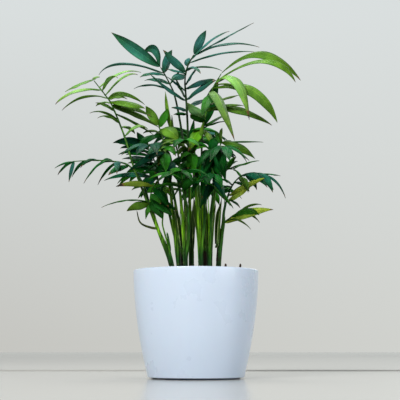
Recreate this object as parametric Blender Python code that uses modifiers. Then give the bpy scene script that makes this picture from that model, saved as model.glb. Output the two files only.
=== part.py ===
"""A bamboo palm in a round white pot.

Twelve young palms share the pot. Each one is a short cane that stands in its own hole in the soil
and carries a few pinnate fronds. Two dry stubs of old stems stand beside them. The z axis runs up
through the middle of the pot, the pot stands on z = 0, and -y is the front. Sizes and places are in
millimetres; MM turns them into metres.
"""

import math
import random
from collections import namedtuple

import bmesh
import bpy
from mathutils import Matrix, Vector
from mathutils.bvhtree import BVHTree

MM = 0.001
UP = Vector((0, 0, 1))

# The pot: a turned shell with a gently bellied wall on a set-back foot.
POT_HEIGHT = 112.0
POT_TOP_RADIUS = 65.5
POT_BASE_RADIUS = 50.0
POT_BELLY = 1.8
POT_WALL = 2.4
POT_FLOOR = 4.0
FOOT_RADIUS = 46.0
FOOT_HEIGHT = 1.5
BASE_ROUNDING = (0.8, 1.0)
POT_WALL_POINTS = 6
RIM_POINTS = 4
TURN_STEPS = 40

# The soil fills the pot to a little under the rim, with a gap that keeps it clear of the pot.
SOIL_TOP = 100.0
SOIL_GAP = 0.4
SOIL_BUMP = 0.9
LONG_RIPPLE = (0.21, 0.17)
SHORT_RIPPLE = (0.37, 0.29)
SOIL_RINGS = 5
SOIL_STEPS = 26
SOIL_WALL_POINTS = 3

# Canes, stalks and blades.
CANE_RADIUS = 2.4
CANE_TAPER = 0.88
CANE_DEPTH = 22.0
CANE_SIDES = 6
CANE_PIECES = 5
COLLAR_HEIGHT = 0.5
COLLAR_LEAN = 0.3
HOLE_GAP = 0.45
HOLE_SIDES = 8
PETIOLE_RADIUS = 1.6
RACHIS_RADIUS = 0.95
RACHIS_TIP_RADIUS = 0.6
STALK_SIDES = 6
PETIOLE_PIECES = 4
RACHIS_PIECES = 4
CURVE_STEPS = 12
LONG_BLADE = 42.0
LONG_BLADE_STATIONS = (0.22, 0.5, 0.8)
SHORT_BLADE_STATIONS = (0.3, 0.7)
BLADE_HALF_THICKNESS = 0.5
BLADE_ROOT_HALF_WIDTH = 0.55
BLADE_FOLD = 0.18
BLADE_SHAPE = (0.9, 0.8)
CLEARANCE = 0.5
MERGE = 0.0001

# The fronds that are made by rule: where a pair sits, how far its two leaflets are staggered, how far
# in degrees they spread at the base, at the tip and on the last pair, and how much each may differ.
FAN_FIRST = 0.25
FAN_STAGGER = 0.15
FAN_BASE_SPREAD = 62.0
FAN_TIP_SPREAD = 36.0
FAN_LAST_SPREAD = 20.0
FAN_SPREAD_CHANCE = 8.0
FAN_END_LENGTH = 0.72
FAN_LENGTH_CHANCE = (0.9, 1.08)
FAN_DROOP_CHANCE = (0.7, 1.3)
FAN_RISE = 0.16
FAN_ROLL = 12.0
FAN_LEAN = 0.55

# A leaflet that is in another palm's way is turned by the first of these that frees it:
# degrees round the z axis, and degrees up.
TURNS = ((0, 0), (0, 7), (7, 0), (-7, 0), (0, -7), (14, 4), (-14, 4), (14, -6), (-14, -6), (0, 16),
         (24, 0), (-24, 0), (0, -16), (32, 10), (-32, 10), (32, -10), (-32, -10))

WHITE_PLASTIC = (0.82, 0.86, 0.9)
POTTING_SOIL = (0.05, 0.035, 0.025)
DARK_GREEN = (0.03, 0.13, 0.05)
BRIGHT_GREEN = (0.14, 0.29, 0.05)
DRY_BROWN = (0.1, 0.065, 0.035)

# foot: where the cane stands in the soil. top: where the cane ends, as (x, y, z).
Palm = namedtuple("Palm", "foot top radius colour", defaults=(CANE_RADIUS, DARK_GREEN))
# leave: how far up the cane, as a share, the stalk leaves it. petiole and rachis: the points that the
# bare stalk and the leafy stalk pass through. leaflets: the ones placed one by one. fan: the ones
# placed by rule.
Frond = namedtuple("Frond", "palm leave petiole rachis leaflets fan", defaults=((), None))
# at: share of the rachis. tip: where the leaflet ends. rise: how far its middle arches above the
# straight line from root to tip. roll: the degrees by which its upper face is turned to the front.
# lean: how far along that line the arch is highest.
Leaflet = namedtuple("Leaflet", "at tip rise width roll lean", defaults=(0.0, 0.5))
# pairs of leaflets along the rachis, the length and width of the largest, the droop of a tip as a
# share of the length, and the seed of the small irregularities.
Fan = namedtuple("Fan", "pairs length width droop seed")

PALMS = {
    "palm_left": Palm((-20.5, -6), (-40, -8, 160), colour=BRIGHT_GREEN),
    "palm_left_mid": Palm((-16.5, 3), (-23, 1, 172)),
    "palm_tall_left": Palm((-10.8, -3), (-11, -3, 188)),
    "palm_tall_right": Palm((-4, 8), (-6, 6, 190)),
    "palm_front": Palm((5, -11), (3, -15, 178)),
    "palm_right": Palm((10, 3), (8, 0, 188), colour=BRIGHT_GREEN),
    "palm_right_mid": Palm((14.5, -7), (16, -7, 180)),
    "palm_far_right": Palm((22, -1), (26.5, -2, 160), colour=BRIGHT_GREEN),
    "palm_back_right": Palm((12, 14), (15, 22, 176)),
    "palm_back": Palm((5, 20), (5, 27, 178)),
    "palm_front_left": Palm((-10.5, -17), (-12.5, -23, 168)),
    "palm_back_left": Palm((-13, 18), (-19, 27, 172)),
    "dry_stub_near": Palm((29, -26), (30.5, -27, 117.5), 1.3, DRY_BROWN),
    "dry_stub_far": Palm((43, -18), (46, -19, 118), 1.2, DRY_BROWN),
}

FRONDS = {
    # The top left frond, dark and held high.
    "top_left": Frond(
        "palm_tall_left", 0.9,
        ((-12, 2, 216), (-14, 7, 250)),
        ((-19, 14, 283), (-24, 20, 306), (-30, 25, 321), (-40, 33, 341)),
        (
            Leaflet(1.0, (-96, 45, 384), 0, 12, -70),
            Leaflet(1.0, (-60, 40, 359), 15, 10, -60, 0.05),
            Leaflet(0.85, (-107, 20, 328), 13, 9, 10, 0.8),
            Leaflet(0.85, (-27, 42, 363), 1, 10, 80),
            Leaflet(0.8, (-61, 6, 322), 4, 7, 30),
            Leaflet(0.6, (-58, 44, 328), 4, 7, 30),
            Leaflet(0.6, (-14, 14, 335), 2, 8, 40),
            Leaflet(0.45, (-68, 14, 311), 6, 7, 10, 0.6),
        ),
    ),
    # The tallest frond.
    "top": Frond(
        "palm_tall_right", 0.9,
        ((-7, 5, 215), (-8.5, 4, 250)),
        ((-9.5, 3, 276), (-11, 3, 300), (-12, 2, 318), (-9, 1, 333), (-2, 0, 346)),
        (
            Leaflet(1.0, (11, 4, 374), 1, 8, 80),
            Leaflet(0.97, (68, -6, 352), 9, 7, 25),
            Leaflet(0.97, (63, 6, 383), 1, 6, 10),
            Leaflet(0.9, (36, -5, 370), 6, 6, 25),
            Leaflet(0.85, (62, -16, 344), 5, 6, 10),
            Leaflet(0.75, (27.5, -24, 321), 4, 6, 8, 0.6),
            Leaflet(0.72, (5, -28, 317), 6, 7, 10),
            Leaflet(0.7, (-36, 4, 352), 0, 9, 60),
            Leaflet(0.8, (-12.5, 16, 343), 3, 8, 60),
            Leaflet(0.68, (-32, -16, 325), 1, 6, 30),
            Leaflet(0.66, (-26, -26, 310), 2, 9, 40),
            Leaflet(0.45, (20, -12, 315), 2, 9, 50),
            Leaflet(0.28, (21.5, -16, 313), 3, 9, 55),
            Leaflet(0.15, (16, 18, 300), 3, 7, 30),
            Leaflet(0.27, (-50, -10, 322), -1, 8, 45),
            Leaflet(0.42, (-32, -22, 316), 1, 7, 40),
            Leaflet(0.12, (-26, -12, 284), 2, 10, 30),
            Leaflet(0.5, (1, -14, 327), 2, 9, 50),
            Leaflet(0.3, (-22, -12, 317), 1, 8, 45),
        ),
    ),
    # The bright frond that arches out to the right.
    "arch_right": Frond(
        "palm_right", 0.9,
        ((6.5, -2, 212), (6, -6, 240)),
        ((7.5, -12, 261), (12, -19, 283), (17, -26, 300), (27, -36, 316)),
        (
            Leaflet(1.0, (109, -38, 307), 25.5, 13, 45, 0.55),
            Leaflet(0.85, (101, -66, 298), 23, 11, 30, 0.75),
            Leaflet(0.7, (82.5, -62, 257), 20, 13, 45, 0.7),
            Leaflet(0.8, (54, -66, 259), 27, 12, 20, 0.72),
            Leaflet(0.6, (39, -68, 237.5), 12, 13, 0, 0.2),
            Leaflet(0.35, (79.5, -26, 262), 8, 12, 45),
            Leaflet(0.4, (47, 10, 303), 2, 6, 15),
            Leaflet(0.6, (6, -56, 264.5), 5, 10),
            Leaflet(0.75, (45.5, -10, 307), 3, 6, 10),
            Leaflet(0.2, (-9, -36, 284), 0, 14),
            Leaflet(0.02, (32, -18, 268), 2, 6, 10),
            Leaflet(0.05, (33, 4, 281), 1, 6, 10),
            Leaflet(0.03, (-7, -46, 231), 5, 11, 20),
            Leaflet(0.0, (18, -34, 239), 3, 8),
            Leaflet(0.06, (24, 7, 318), 1, 12, 55),
            Leaflet(0.0, (-14, -36, 228), 4, 9),
        ),
    ),
    # The bright frond on the left.
    "arch_left": Frond(
        "palm_left", 0.95,
        ((-52, -9, 187), (-65.5, -16, 220)),
        ((-75, -22, 251), (-87.5, -28, 282), (-94, -31, 292), (-107, -38, 308)),
        (
            Leaflet(1.0, (-135, -46, 293), 2, 7, 20),
            Leaflet(0.8, (-142.5, -62, 276), 8, 7, 25, 0.65),
            Leaflet(0.64, (-143, -8, 282), 9, 5, 0, 0.55),
            Leaflet(0.7, (-60, -46, 311), 8, 7, 25, 0.6),
            Leaflet(0.85, (-59, -6, 324), 8, 5, 8),
            Leaflet(0.78, (-80, -52, 306), 8, 5),
            Leaflet(1.0, (-102, -20, 315), 2, 5),
            Leaflet(0.64, (-54, -18, 286), 9, 9, 40, 0.4),
            Leaflet(0.5, (-38.5, -24, 260), 4, 9, 45),
            Leaflet(0.58, (-52, -48, 275), 2, 9, 45),
            Leaflet(0.42, (-102.5, -56, 279), 3, 5),
            Leaflet(0.28, (-110, -40, 272), 5, 5),
            Leaflet(0.22, (-101, -48, 265), 5, 5),
            Leaflet(0.55, (-108, 2, 289), 3, 5),
            Leaflet(0.38, (-46, 2, 258), 2, 5),
            Leaflet(0.15, (-66, 14, 261), 4, 6),
            Leaflet(0.0, (-50, -20, 259), 8, 7, 25),
        ),
    ),
    # The long low frond on the left, held level.
    "level_left": Frond(
        "palm_left", 1.0,
        ((-48, -8, 180), (-57, -5, 205)),
        ((-72, 0, 224), (-92, 8, 230), (-113.5, 15, 232), (-135, 22, 232)),
        (
            Leaflet(1.0, (-154, 24, 225), 2, 7, 10),
            Leaflet(0.97, (-152, 34, 219), 4, 5),
            Leaflet(0.97, (-137, 14, 208), 3, 4.5),
            Leaflet(0.7, (-136, 30, 216), 6, 5),
            Leaflet(0.3, (-119, -4, 204), 9, 7),
            Leaflet(0.05, (-106, 14, 205), 11, 7),
            Leaflet(0.2, (-82, -28, 210), 5, 6),
            Leaflet(0.55, (-124, 34, 230), 4, 7, 10),
            Leaflet(0.3, (-106, 30, 230), 5, 7, 10),
            Leaflet(0.6, (-123, -2, 221), 5, 6),
            Leaflet(0.0, (-91, -28, 209), 3, 8, 30),
        ),
    ),
    # The lowest frond on the left.
    "low_left": Frond(
        "palm_left", 1.0,
        ((-45, -10, 172),),
        ((-48, -12, 181), (-47, -16, 192), (-44, -20, 199)),
        (
            Leaflet(0.1, (-99, -14, 177), 5, 5, 5),
            Leaflet(0.0, (-72, -22, 172), 3, 10, 55),
            Leaflet(1.0, (-83, -28, 197), 4, 9, 45),
            Leaflet(0.9, (-28, -30, 175), 4, 9, 40),
            Leaflet(1.0, (-30, -36, 206), 4, 8, 30),
            Leaflet(0.0, (-52, -26, 163), 3, 5),
        ),
    ),
    # A dried leaf that curls out from the leftmost cane, and the stump of one that was cut.
    "dry_curl": Frond("palm_left", 0.95, (), ((-46, -9, 156), (-58, -12, 161), (-62, -14, 174))),
    "cut_stump": Frond("palm_left", 0.58, (), ((-27.5, -6.5, 134), (-28.8, -6.5, 143), (-30.5, -6.5, 152))),
    # A dark frond inside the left of the crown, on a thin dark stalk.
    "inner_left": Frond(
        "palm_left_mid", 0.75,
        ((-24, 3, 160), (-32, 3, 184)),
        ((-40, 2, 205), (-44, 1, 228), (-53, -3, 244)),
        (
            Leaflet(1.0, (-88, -12, 246), 5, 10, -45),
            Leaflet(0.9, (-64, 8, 262), 1, 8, 40),
            Leaflet(0.75, (-81, -20, 239), 4, 10, 20),
            Leaflet(0.6, (-79, 0, 231), 3, 9, 30),
            Leaflet(0.5, (-68, -30, 223), 4, 10, 20),
            Leaflet(0.75, (-24, -14, 256), 4, 9, 30),
            Leaflet(0.4, (-70, 22, 222), 5, 8),
            Leaflet(0.1, (-98, 2, 208), 7, 8, 40),
            Leaflet(0.2, (-60, 24, 192), 5, 8),
            Leaflet(0.3, (-22, -16, 200), 6, 9, 20),
            Leaflet(0.0, (-40, -22, 182), 4, 10, 20),
            Leaflet(0.85, (-82, -10, 234), 4, 9, 30),
        ),
    ),
    # The olive frond left of the middle.
    "olive": Frond(
        "palm_left_mid", 1.0,
        ((-27, -3, 200), (-30, -8, 228)),
        ((-33, -10, 242), (-37, -9, 257), (-40, -8, 266)),
        (
            Leaflet(1.0, (-54, -4, 288), 1, 9, 60),
            Leaflet(0.9, (-30, -4, 285), 1, 8, 50),
            Leaflet(0.8, (-18, -28, 245), 5, 13, 50),
            Leaflet(0.5, (-62, -30, 236), 6, 9, 30),
            Leaflet(0.3, (-10, -36, 236), 5, 9, 30),
            Leaflet(0.2, (-50, -40, 222), 6, 9, 20),
            Leaflet(0.6, (-58, 16, 258), 4, 7),
            Leaflet(0.1, (-34, -46, 216), 5, 9),
            Leaflet(0.0, (-27, -30, 192), 6, 10, 10),
        ),
    ),
    # A spear that hasn't opened, beside a young one.
    "spear": Frond(
        "palm_tall_right", 0.5,
        ((-9.5, 9, 170), (-15, 9, 212)),
        ((-20, 4, 240), (-25, 0, 258)),
        (
            Leaflet(1.0, (-33, -3, 304), 1, 5, 70),
            Leaflet(0.3, (-25.5, -12, 276), 0, 5, 70),
        ),
    ),
    # The frond on the right of the middle.
    "mid_right": Frond(
        "palm_right_mid", 0.95,
        ((20, -7, 204), (23.5, -7, 225)),
        ((24, -7, 235), (25, -8, 242), (27, -9, 248)),
        (
            Leaflet(1.0, (62, -18, 228), 5, 11, 45),
            Leaflet(0.9, (55, -4, 225), 8, 5),
            Leaflet(0.95, (72, 4, 250), 1, 5, 5),
            Leaflet(0.9, (38, 10, 253), 1, 5),
            Leaflet(0.9, (20, 2, 260), 0, 7, 80),
            Leaflet(1.0, (28, -4, 264), 0, 8, 80),
            Leaflet(0.1, (4, -36, 225), 4, 9, 45),
            Leaflet(0.15, (39, -38, 226), 4, 9, 45),
            Leaflet(0.4, (46, -30, 236), 4, 7, 20),
            Leaflet(0.0, (20, -40, 205), 5, 10),
        ),
    ),
    # The frond that arches over the rim on the right.
    "low_right": Frond(
        "palm_far_right", 1.0,
        ((29, -4, 172),),
        ((32, -4, 185), (38, -5, 201), (47, -6, 211), (58, -6, 215), (68, -6, 214)),
        (
            Leaflet(1.0, (94, -12, 187), 9, 7, 10, 0.75),
            Leaflet(1.0, (90, 2, 213), 1, 5, 10),
            Leaflet(0.88, (80, -22, 191.5), 8, 9, 30, 0.7),
            Leaflet(0.92, (83, 8, 199), 6, 7, 10),
            Leaflet(0.62, (74, -28, 196), 8, 9, 30),
            Leaflet(0.12, (71.5, -28, 206), 2, 9, 60),
            Leaflet(0.55, (54, -32, 190), 6, 7, 10),
            Leaflet(0.0, (46, -24, 175), 4, 5),
            Leaflet(0.7, (66, 24, 201), 5, 7),
            Leaflet(0.4, (58, 28, 200), 5, 7),
            Leaflet(0.3, (22, -32, 190), 4, 6),
        ),
    ),
    # The lowest frond on the right, two broad leaflets over the rim.
    "lowest_right": Frond(
        "palm_far_right", 0.95,
        (),
        ((29, -2.5, 161.5), (37, -3, 168), (46, -4, 174)),
        (
            Leaflet(0.05, (81, -12, 175), 5, 11, 60, 0.45),
            Leaflet(1.0, (70, 3, 182), 4, 6, 20),
            Leaflet(0.5, (66, -22, 168), 6, 9, 50),
            Leaflet(0.9, (68, 10, 164), 5, 5),
            Leaflet(0.2, (57, -22, 153), 6, 5),
        ),
    ),
    # A short frond behind it.
    "short_right": Frond(
        "palm_back_right", 1.0,
        ((20, 18, 198),),
        ((28, 10, 216), (33, 8, 221), (40, 6, 221)),
        (
            Leaflet(0.1, (43, 2, 233), 4, 9, 55),
            Leaflet(0.4, (45, 14, 231), 3, 6),
            Leaflet(0.6, (52, 18, 229), 1, 5),
            Leaflet(0.9, (68, 10, 231), 2, 5),
            Leaflet(1.0, (60, -6, 205), 4, 6),
        ),
    ),
    # The fronds that come forward and hide the stalks.
    "forward_left": Frond(
        "palm_front_left", 1.0,
        ((-18, -27, 200),),
        ((-23, -29, 216), (-30, -33, 229), (-40, -42, 236), (-50, -56, 236)),
        (
            Leaflet(0.45, (-70, -58, 207), 4, 11, -30),
            Leaflet(0.12, (-42, -50, 207), 5, 9, 20),
            Leaflet(0.5, (-20, -66, 222), 7, 9, 20),
            Leaflet(0.7, (-76, -50, 226), 5, 8),
            Leaflet(0.8, (-38, -86, 220), 6, 9),
            Leaflet(1.0, (-72, -82, 222), 4, 9),
            Leaflet(1.0, (-58, -92, 218), 4, 9),
            Leaflet(0.02, (-40, -34, 192), 4, 10, 20),
            Leaflet(0.4, (-30, -62, 206), 5, 10, 10),
            Leaflet(0.25, (-58, -44, 214), 5, 9),
        ),
    ),
    "forward_right": Frond(
        "palm_front", 0.5,
        ((8.5, -17, 165), (9, -21, 195)),
        ((10, -27, 223), (15, -34, 231), (22, -46, 235), (29, -62, 233)),
        (
            Leaflet(0.05, (12, -50, 174), 8, 10),
            Leaflet(0.2, (17, -58, 180), 9, 9),
            Leaflet(0.3, (30, -54, 200), 6, 9),
            Leaflet(0.5, (0, -68, 208), 6, 9),
            Leaflet(0.6, (54, -62, 218), 6, 9),
            Leaflet(0.8, (14, -90, 212), 6, 9),
            Leaflet(1.0, (50, -84, 216), 4, 9),
            Leaflet(1.0, (33, -96, 212), 4, 9),
            Leaflet(0.0, (-4, -50, 186), 6, 11),
            Leaflet(0.05, (41, -52, 224), 8, 9, 30),
            Leaflet(0.4, (30, -66, 196), 7, 10, 10),
            Leaflet(0.7, (27, -84, 205), 5, 10),
        ),
    ),
    "centre": Frond(
        "palm_front", 1.0,
        ((-1, -17, 200),),
        ((-3, -20, 216), (-5, -24, 230), (-9, -31, 240), (-14, -42, 243)),
        (
            Leaflet(0.5, (-19, -42, 226), 7, 7, 20),
            Leaflet(0.6, (12, -44, 230), 8, 8, 20),
            Leaflet(0.3, (-30, -30, 214), 6, 10, 40),
            Leaflet(0.1, (-16, -44, 198), 6, 10),
            Leaflet(0.3, (5, -46, 205), 6, 10, 10),
            Leaflet(0.8, (-36, -58, 234), 5, 8),
            Leaflet(0.9, (4, -70, 230), 6, 8),
            Leaflet(1.0, (-22, -76, 228), 5, 9),
            Leaflet(0.35, (-15, -62, 225), 6, 8, 10),
            Leaflet(0.0, (-26, -34, 188), 6, 11, 20),
            Leaflet(0.45, (-2, -52, 204), 7, 11, 10),
        ),
    ),
    "forward_low": Frond(
        "palm_front_left", 0.5,
        ((-7.5, -25, 152), (-9, -30, 176)),
        ((-13, -38, 190), (-14, -50, 202), (-14, -68, 206)),
        fan=Fan(4, 44, 9, 0.5, 8),
    ),
    "forward_side": Frond(
        "palm_right_mid", 0.45,
        ((15, -14, 150), (17, -19, 178)),
        ((18, -27, 196), (18, -42, 205), (15, -60, 206)),
        (
            Leaflet(0.05, (33, -42, 172), 5, 10),
            Leaflet(0.4, (29, -60, 180), 5, 9),
            Leaflet(0.8, (26, -82, 187), 5, 9),
            Leaflet(1.0, (10, -92, 188), 4, 9),
            Leaflet(0.6, (4, -74, 182), 5, 9),
            Leaflet(0.2, (2, -52, 174), 5, 10),
        ),
    ),
    # The fronds at the back.
    "back_high": Frond(
        "palm_back", 1.0,
        ((2, 33, 215), (-1, 40, 240)),
        ((-3, 48, 256), (-5, 64, 273), (-6, 88, 278)),
        fan=Fan(6, 60, 10, 0.4, 11),
    ),
    "back_low": Frond(
        "palm_back", 0.85,
        ((10, 38, 188),),
        ((12, 47, 201), (14, 65, 212), (15, 88, 212)),
        fan=Fan(4, 46, 10, 0.45, 12),
    ),
    "back_left": Frond(
        "palm_back_left", 1.0,
        ((-25, 37, 200),),
        ((-30, 46, 220), (-38, 60, 236), (-48, 80, 240)),
        fan=Fan(5, 56, 10, 0.45, 13),
    ),
    "back_left_low": Frond(
        "palm_back_left", 0.8,
        ((-30, 38, 186),),
        ((-33, 46, 200), (-37, 60, 212), (-42, 80, 215)),
        fan=Fan(4, 40, 10, 0.4, 14),
    ),
    "back_right": Frond(
        "palm_back_right", 0.95,
        ((18, 30, 196), (19, 38, 216)),
        ((18, 46, 230), (13, 61, 243), (6, 82, 246)),
        fan=Fan(4, 38, 10, 0.45, 15),
    ),
}


def catmull_rom(before, start, end, after, share):
    """A point on the smooth curve from start to end, given the points on either side of them."""
    squared = share * share
    cubed = squared * share
    return 0.5 * (
        2 * start
        + (end - before) * share
        + (2 * before - 5 * start + 4 * end - after) * squared
        + (3 * start - before - 3 * end + after) * cubed
    )


def smooth_spans(points):
    """For each span between two of the points, the close-set points of one smooth curve through all."""
    ends = [2 * points[0] - points[1], *points, 2 * points[-1] - points[-2]]
    return [
        [catmull_rom(*ends[i:i + 4], step / CURVE_STEPS) for step in range(CURVE_STEPS + 1)]
        for i in range(len(points) - 1)
    ]


def spaced(points, pieces):
    """The line through the points, cut into that many pieces of equal length."""
    lengths = [0.0]
    for start, end in zip(points, points[1:]):
        lengths.append(lengths[-1] + (end - start).length)
    made, span = [], 0
    for piece in range(pieces + 1):
        wanted = lengths[-1] * piece / pieces
        while span < len(points) - 2 and lengths[span + 1] < wanted:
            span += 1
        share = (wanted - lengths[span]) / max(lengths[span + 1] - lengths[span], 1e-9)
        made.append(points[span].lerp(points[span + 1], share))
    return made


def along(points, share):
    """The point at that share of an evenly spaced line, and the line's direction there."""
    place = min(max(share, 0.0), 1.0) * (len(points) - 1)
    span = min(int(place), len(points) - 2)
    direction = (points[span + 1] - points[span]).normalized()
    return points[span].lerp(points[span + 1], place - span), direction


def cane_line(palm):
    """The cane's middle line: straight up out of its hole, then leaning to its top."""
    foot = Vector((*palm.foot, SOIL_TOP - CANE_DEPTH))
    top = Vector(palm.top)
    collar = foot.lerp(top, COLLAR_HEIGHT)
    collar.xy = foot.xy.lerp(top.xy, COLLAR_LEAN)
    points = [p for span in smooth_spans([foot, collar, top]) for p in span]
    return spaced(points, CANE_PIECES)


def stalk_lines(frond):
    """The frond's petiole and rachis, as two evenly spaced lines that meet."""
    start, _ = along(cane_line(PALMS[frond.palm]), frond.leave)
    given = [start, *(Vector(p) for p in frond.petiole + frond.rachis)]
    spans = smooth_spans(given)
    split = 1 + len(frond.petiole)
    petiole = [p for span in spans[:split] for p in span]
    rachis = [p for span in spans[split:] for p in span]
    return spaced(petiole, PETIOLE_PIECES), spaced(rachis, RACHIS_PIECES)


def fan_leaflets(frond, rachis):
    """Leaflets in pairs along the rachis, by rule: wide apart at its base and swept forward at its tip."""
    fan = frond.fan
    chance = random.Random(fan.seed)
    made = []
    for pair in range(fan.pairs):
        for side in (-1, 1):
            share, spread = 1.0, FAN_LAST_SPREAD
            if pair < fan.pairs - 1:
                share = min((pair + FAN_FIRST + FAN_STAGGER * side) / (fan.pairs - 1), 1.0)
                spread = FAN_BASE_SPREAD + (FAN_TIP_SPREAD - FAN_BASE_SPREAD) * share
                spread += chance.uniform(-FAN_SPREAD_CHANCE, FAN_SPREAD_CHANCE)
            root, ahead = along(rachis, share)
            across = ahead.cross(UP).normalized() * side
            bulge = math.sin(math.pi * share)
            length = fan.length * (FAN_END_LENGTH + (1 - FAN_END_LENGTH) * bulge)
            length *= chance.uniform(*FAN_LENGTH_CHANCE)
            angle = math.radians(spread)
            heading = ahead * math.cos(angle) + across * math.sin(angle)
            tip = root + heading * length - UP * length * fan.droop * chance.uniform(*FAN_DROOP_CHANCE)
            made.append(
                Leaflet(share, tuple(tip), FAN_RISE * length, fan.width, side * FAN_ROLL, FAN_LEAN)
            )
    return made


def turned(reach, turn):
    """The way from a leaflet's root to its tip, turned round the z axis and up."""
    spin, lift = (math.radians(angle) for angle in turn)
    flat = Matrix.Rotation(spin, 3, "Z") @ reach
    return Matrix.Rotation(lift, 3, flat.cross(UP).normalized()) @ flat


def blade_width_share(share):
    """The width of a leaflet along its length: a long lance shape, as a share of its widest."""
    shift, fullness = BLADE_SHAPE
    return math.sin(math.pi * share ** shift) ** fullness if 0 < share < 1 else 0.0


class Blade:
    """A leaflet's own line and cross-sections."""

    def __init__(self, leaflet, rachis, turn):
        self.leaflet = leaflet
        self.root, _ = along(rachis, leaflet.at)
        reach = turned(Vector(leaflet.tip) - self.root, turn)
        self.tip = self.root + reach
        self.bend = self.root + reach * leaflet.lean + UP * 2 * leaflet.rise

    def frame(self, share):
        """The middle line's point there, and the directions across the leaflet and out of its face."""
        rest = 1 - share
        point = self.root * rest * rest + self.bend * 2 * share * rest + self.tip * share * share
        ahead = ((self.bend - self.root) * rest + (self.tip - self.bend) * share).normalized()
        across = ahead.cross(UP).normalized()
        roll = math.radians(self.leaflet.roll if across.y <= 0 else -self.leaflet.roll)
        across.rotate(Matrix.Rotation(roll, 3, ahead))
        return point, across, across.cross(ahead)

    def mesh(self, grow=0.0):
        """A four-sided rod, shaped into a folded lance: two edges, a ridge above and a keel below."""
        shape = bmesh.new()
        bmesh.ops.create_cone(shape, cap_ends=True, segments=4, radius1=1, radius2=0, depth=1)
        is_long = (self.tip - self.root).length > LONG_BLADE
        for station in LONG_BLADE_STATIONS if is_long else SHORT_BLADE_STATIONS:
            geometry = shape.verts[:] + shape.edges[:] + shape.faces[:]
            bmesh.ops.bisect_plane(
                shape, geom=geometry, plane_co=(0, 0, station - 0.5), plane_no=(0, 0, 1)
            )
        for vertex in shape.verts:
            share = vertex.co.z + 0.5
            spread = max(1 - share, 1e-6)
            sideways, outwards = round(vertex.co.x / spread), round(vertex.co.y / spread)
            if share > 0.999:
                share, sideways, outwards = 1.0, 0, 0
            point, across, face = self.frame(share)
            half_width = (
                BLADE_ROOT_HALF_WIDTH * (1 - share)
                + 0.5 * self.leaflet.width * blade_width_share(share) + grow
            )
            half_thickness = BLADE_HALF_THICKNESS + grow
            vertex.co = (
                point
                + across * half_width * sideways
                + face * (half_thickness * outwards - BLADE_FOLD * half_width * abs(sideways))
            )
        bmesh.ops.triangulate(shape, faces=shape.faces[:])
        bmesh.ops.recalc_face_normals(shape, faces=shape.faces[:])
        return shape


def tube_mesh(points, radii, sides):
    """A rod of that many sides along the points, from a curve with a bevel and filled caps."""
    curve = bpy.data.curves.new("rod", "CURVE")
    curve.dimensions = "3D"
    curve.bevel_depth = 1.0
    curve.bevel_resolution = sides // 2 - 2
    curve.use_fill_caps = True
    spline = curve.splines.new("POLY")
    spline.points.add(len(points) - 1)
    for knot, point, radius in zip(spline.points, points, radii):
        knot.co = (*point, 1.0)
        knot.radius = radius
    rod = bpy.data.objects.new("rod", curve)
    bpy.context.scene.collection.objects.link(rod)
    graph = bpy.context.evaluated_depsgraph_get()
    mesh = bpy.data.meshes.new_from_object(rod.evaluated_get(graph))
    shape = bmesh.new()
    shape.from_mesh(mesh)
    bmesh.ops.remove_doubles(shape, verts=shape.verts[:], dist=MERGE)
    bmesh.ops.triangulate(shape, faces=shape.faces[:])
    bmesh.ops.recalc_face_normals(shape, faces=shape.faces[:])
    bpy.data.objects.remove(rod)
    bpy.data.meshes.remove(mesh)
    bpy.data.curves.remove(curve)
    return shape


def tapered(first, last, count):
    """That many radii from the first to the last."""
    return [first + (last - first) * i / (count - 1) for i in range(count)]


def cane_mesh(palm, grow=0.0):
    """The cane, from the bottom of its hole to its top."""
    points = cane_line(palm)
    radii = tapered(palm.radius + grow, palm.radius * CANE_TAPER + grow, len(points))
    return tube_mesh(points, radii, CANE_SIDES)


def stalk_mesh(frond, grow=0.0):
    """The petiole and the rachis in one rod."""
    petiole, rachis = stalk_lines(frond)
    radii = tapered(PETIOLE_RADIUS + grow, RACHIS_RADIUS + grow, len(petiole))
    radii += tapered(RACHIS_RADIUS + grow, RACHIS_TIP_RADIUS + grow, len(rachis))[1:]
    return tube_mesh(petiole + rachis[1:], radii, STALK_SIDES)


def tree_of(shape):
    """The shape's faces, sorted for a quick search, and the shape set free."""
    tree = BVHTree.FromBMesh(shape)
    shape.free()
    return tree


def planned_blades():
    """For each frond, its leaflets' blades. One that meets another palm is turned clear, or left out."""
    placed = [(name, tree_of(cane_mesh(palm, CLEARANCE))) for name, palm in PALMS.items()]
    placed += [(name, tree_of(stalk_mesh(frond, CLEARANCE))) for name, frond in FRONDS.items()]
    plan = {}
    for name, frond in FRONDS.items():
        _, rachis = stalk_lines(frond)
        wanted = list(frond.leaflets)
        if frond.fan:
            wanted += fan_leaflets(frond, rachis)
        plan[name] = []
        for leaflet in wanted:
            for turn in TURNS:
                blade = Blade(leaflet, rachis, turn)
                tree = tree_of(blade.mesh(CLEARANCE))
                if not any(owner != name and tree.overlap(taken) for owner, taken in placed):
                    placed.append((name, tree))
                    plan[name].append(blade)
                    break
            else:
                print(f"left out: {name} leaflet at {leaflet.at}")
    return plan


def clear_scene():
    """Removes whatever the scene starts with."""
    for thing in list(bpy.data.objects):
        bpy.data.objects.remove(thing)


def material(name, colour, roughness):
    """A plain finish."""
    made = bpy.data.materials.new(name)
    made.use_nodes = True
    surface = made.node_tree.nodes["Principled BSDF"]
    surface.inputs["Base Color"].default_value = (*colour, 1)
    surface.inputs["Roughness"].default_value = roughness
    return made


def object_from(shape, name, collection):
    """A mesh object in metres from a shape in millimetres."""
    bmesh.ops.scale(shape, vec=(MM, MM, MM), verts=shape.verts[:])
    mesh = bpy.data.meshes.new(name)
    shape.to_mesh(mesh)
    shape.free()
    made = bpy.data.objects.new(name, mesh)
    collection.objects.link(made)
    return made


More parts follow.
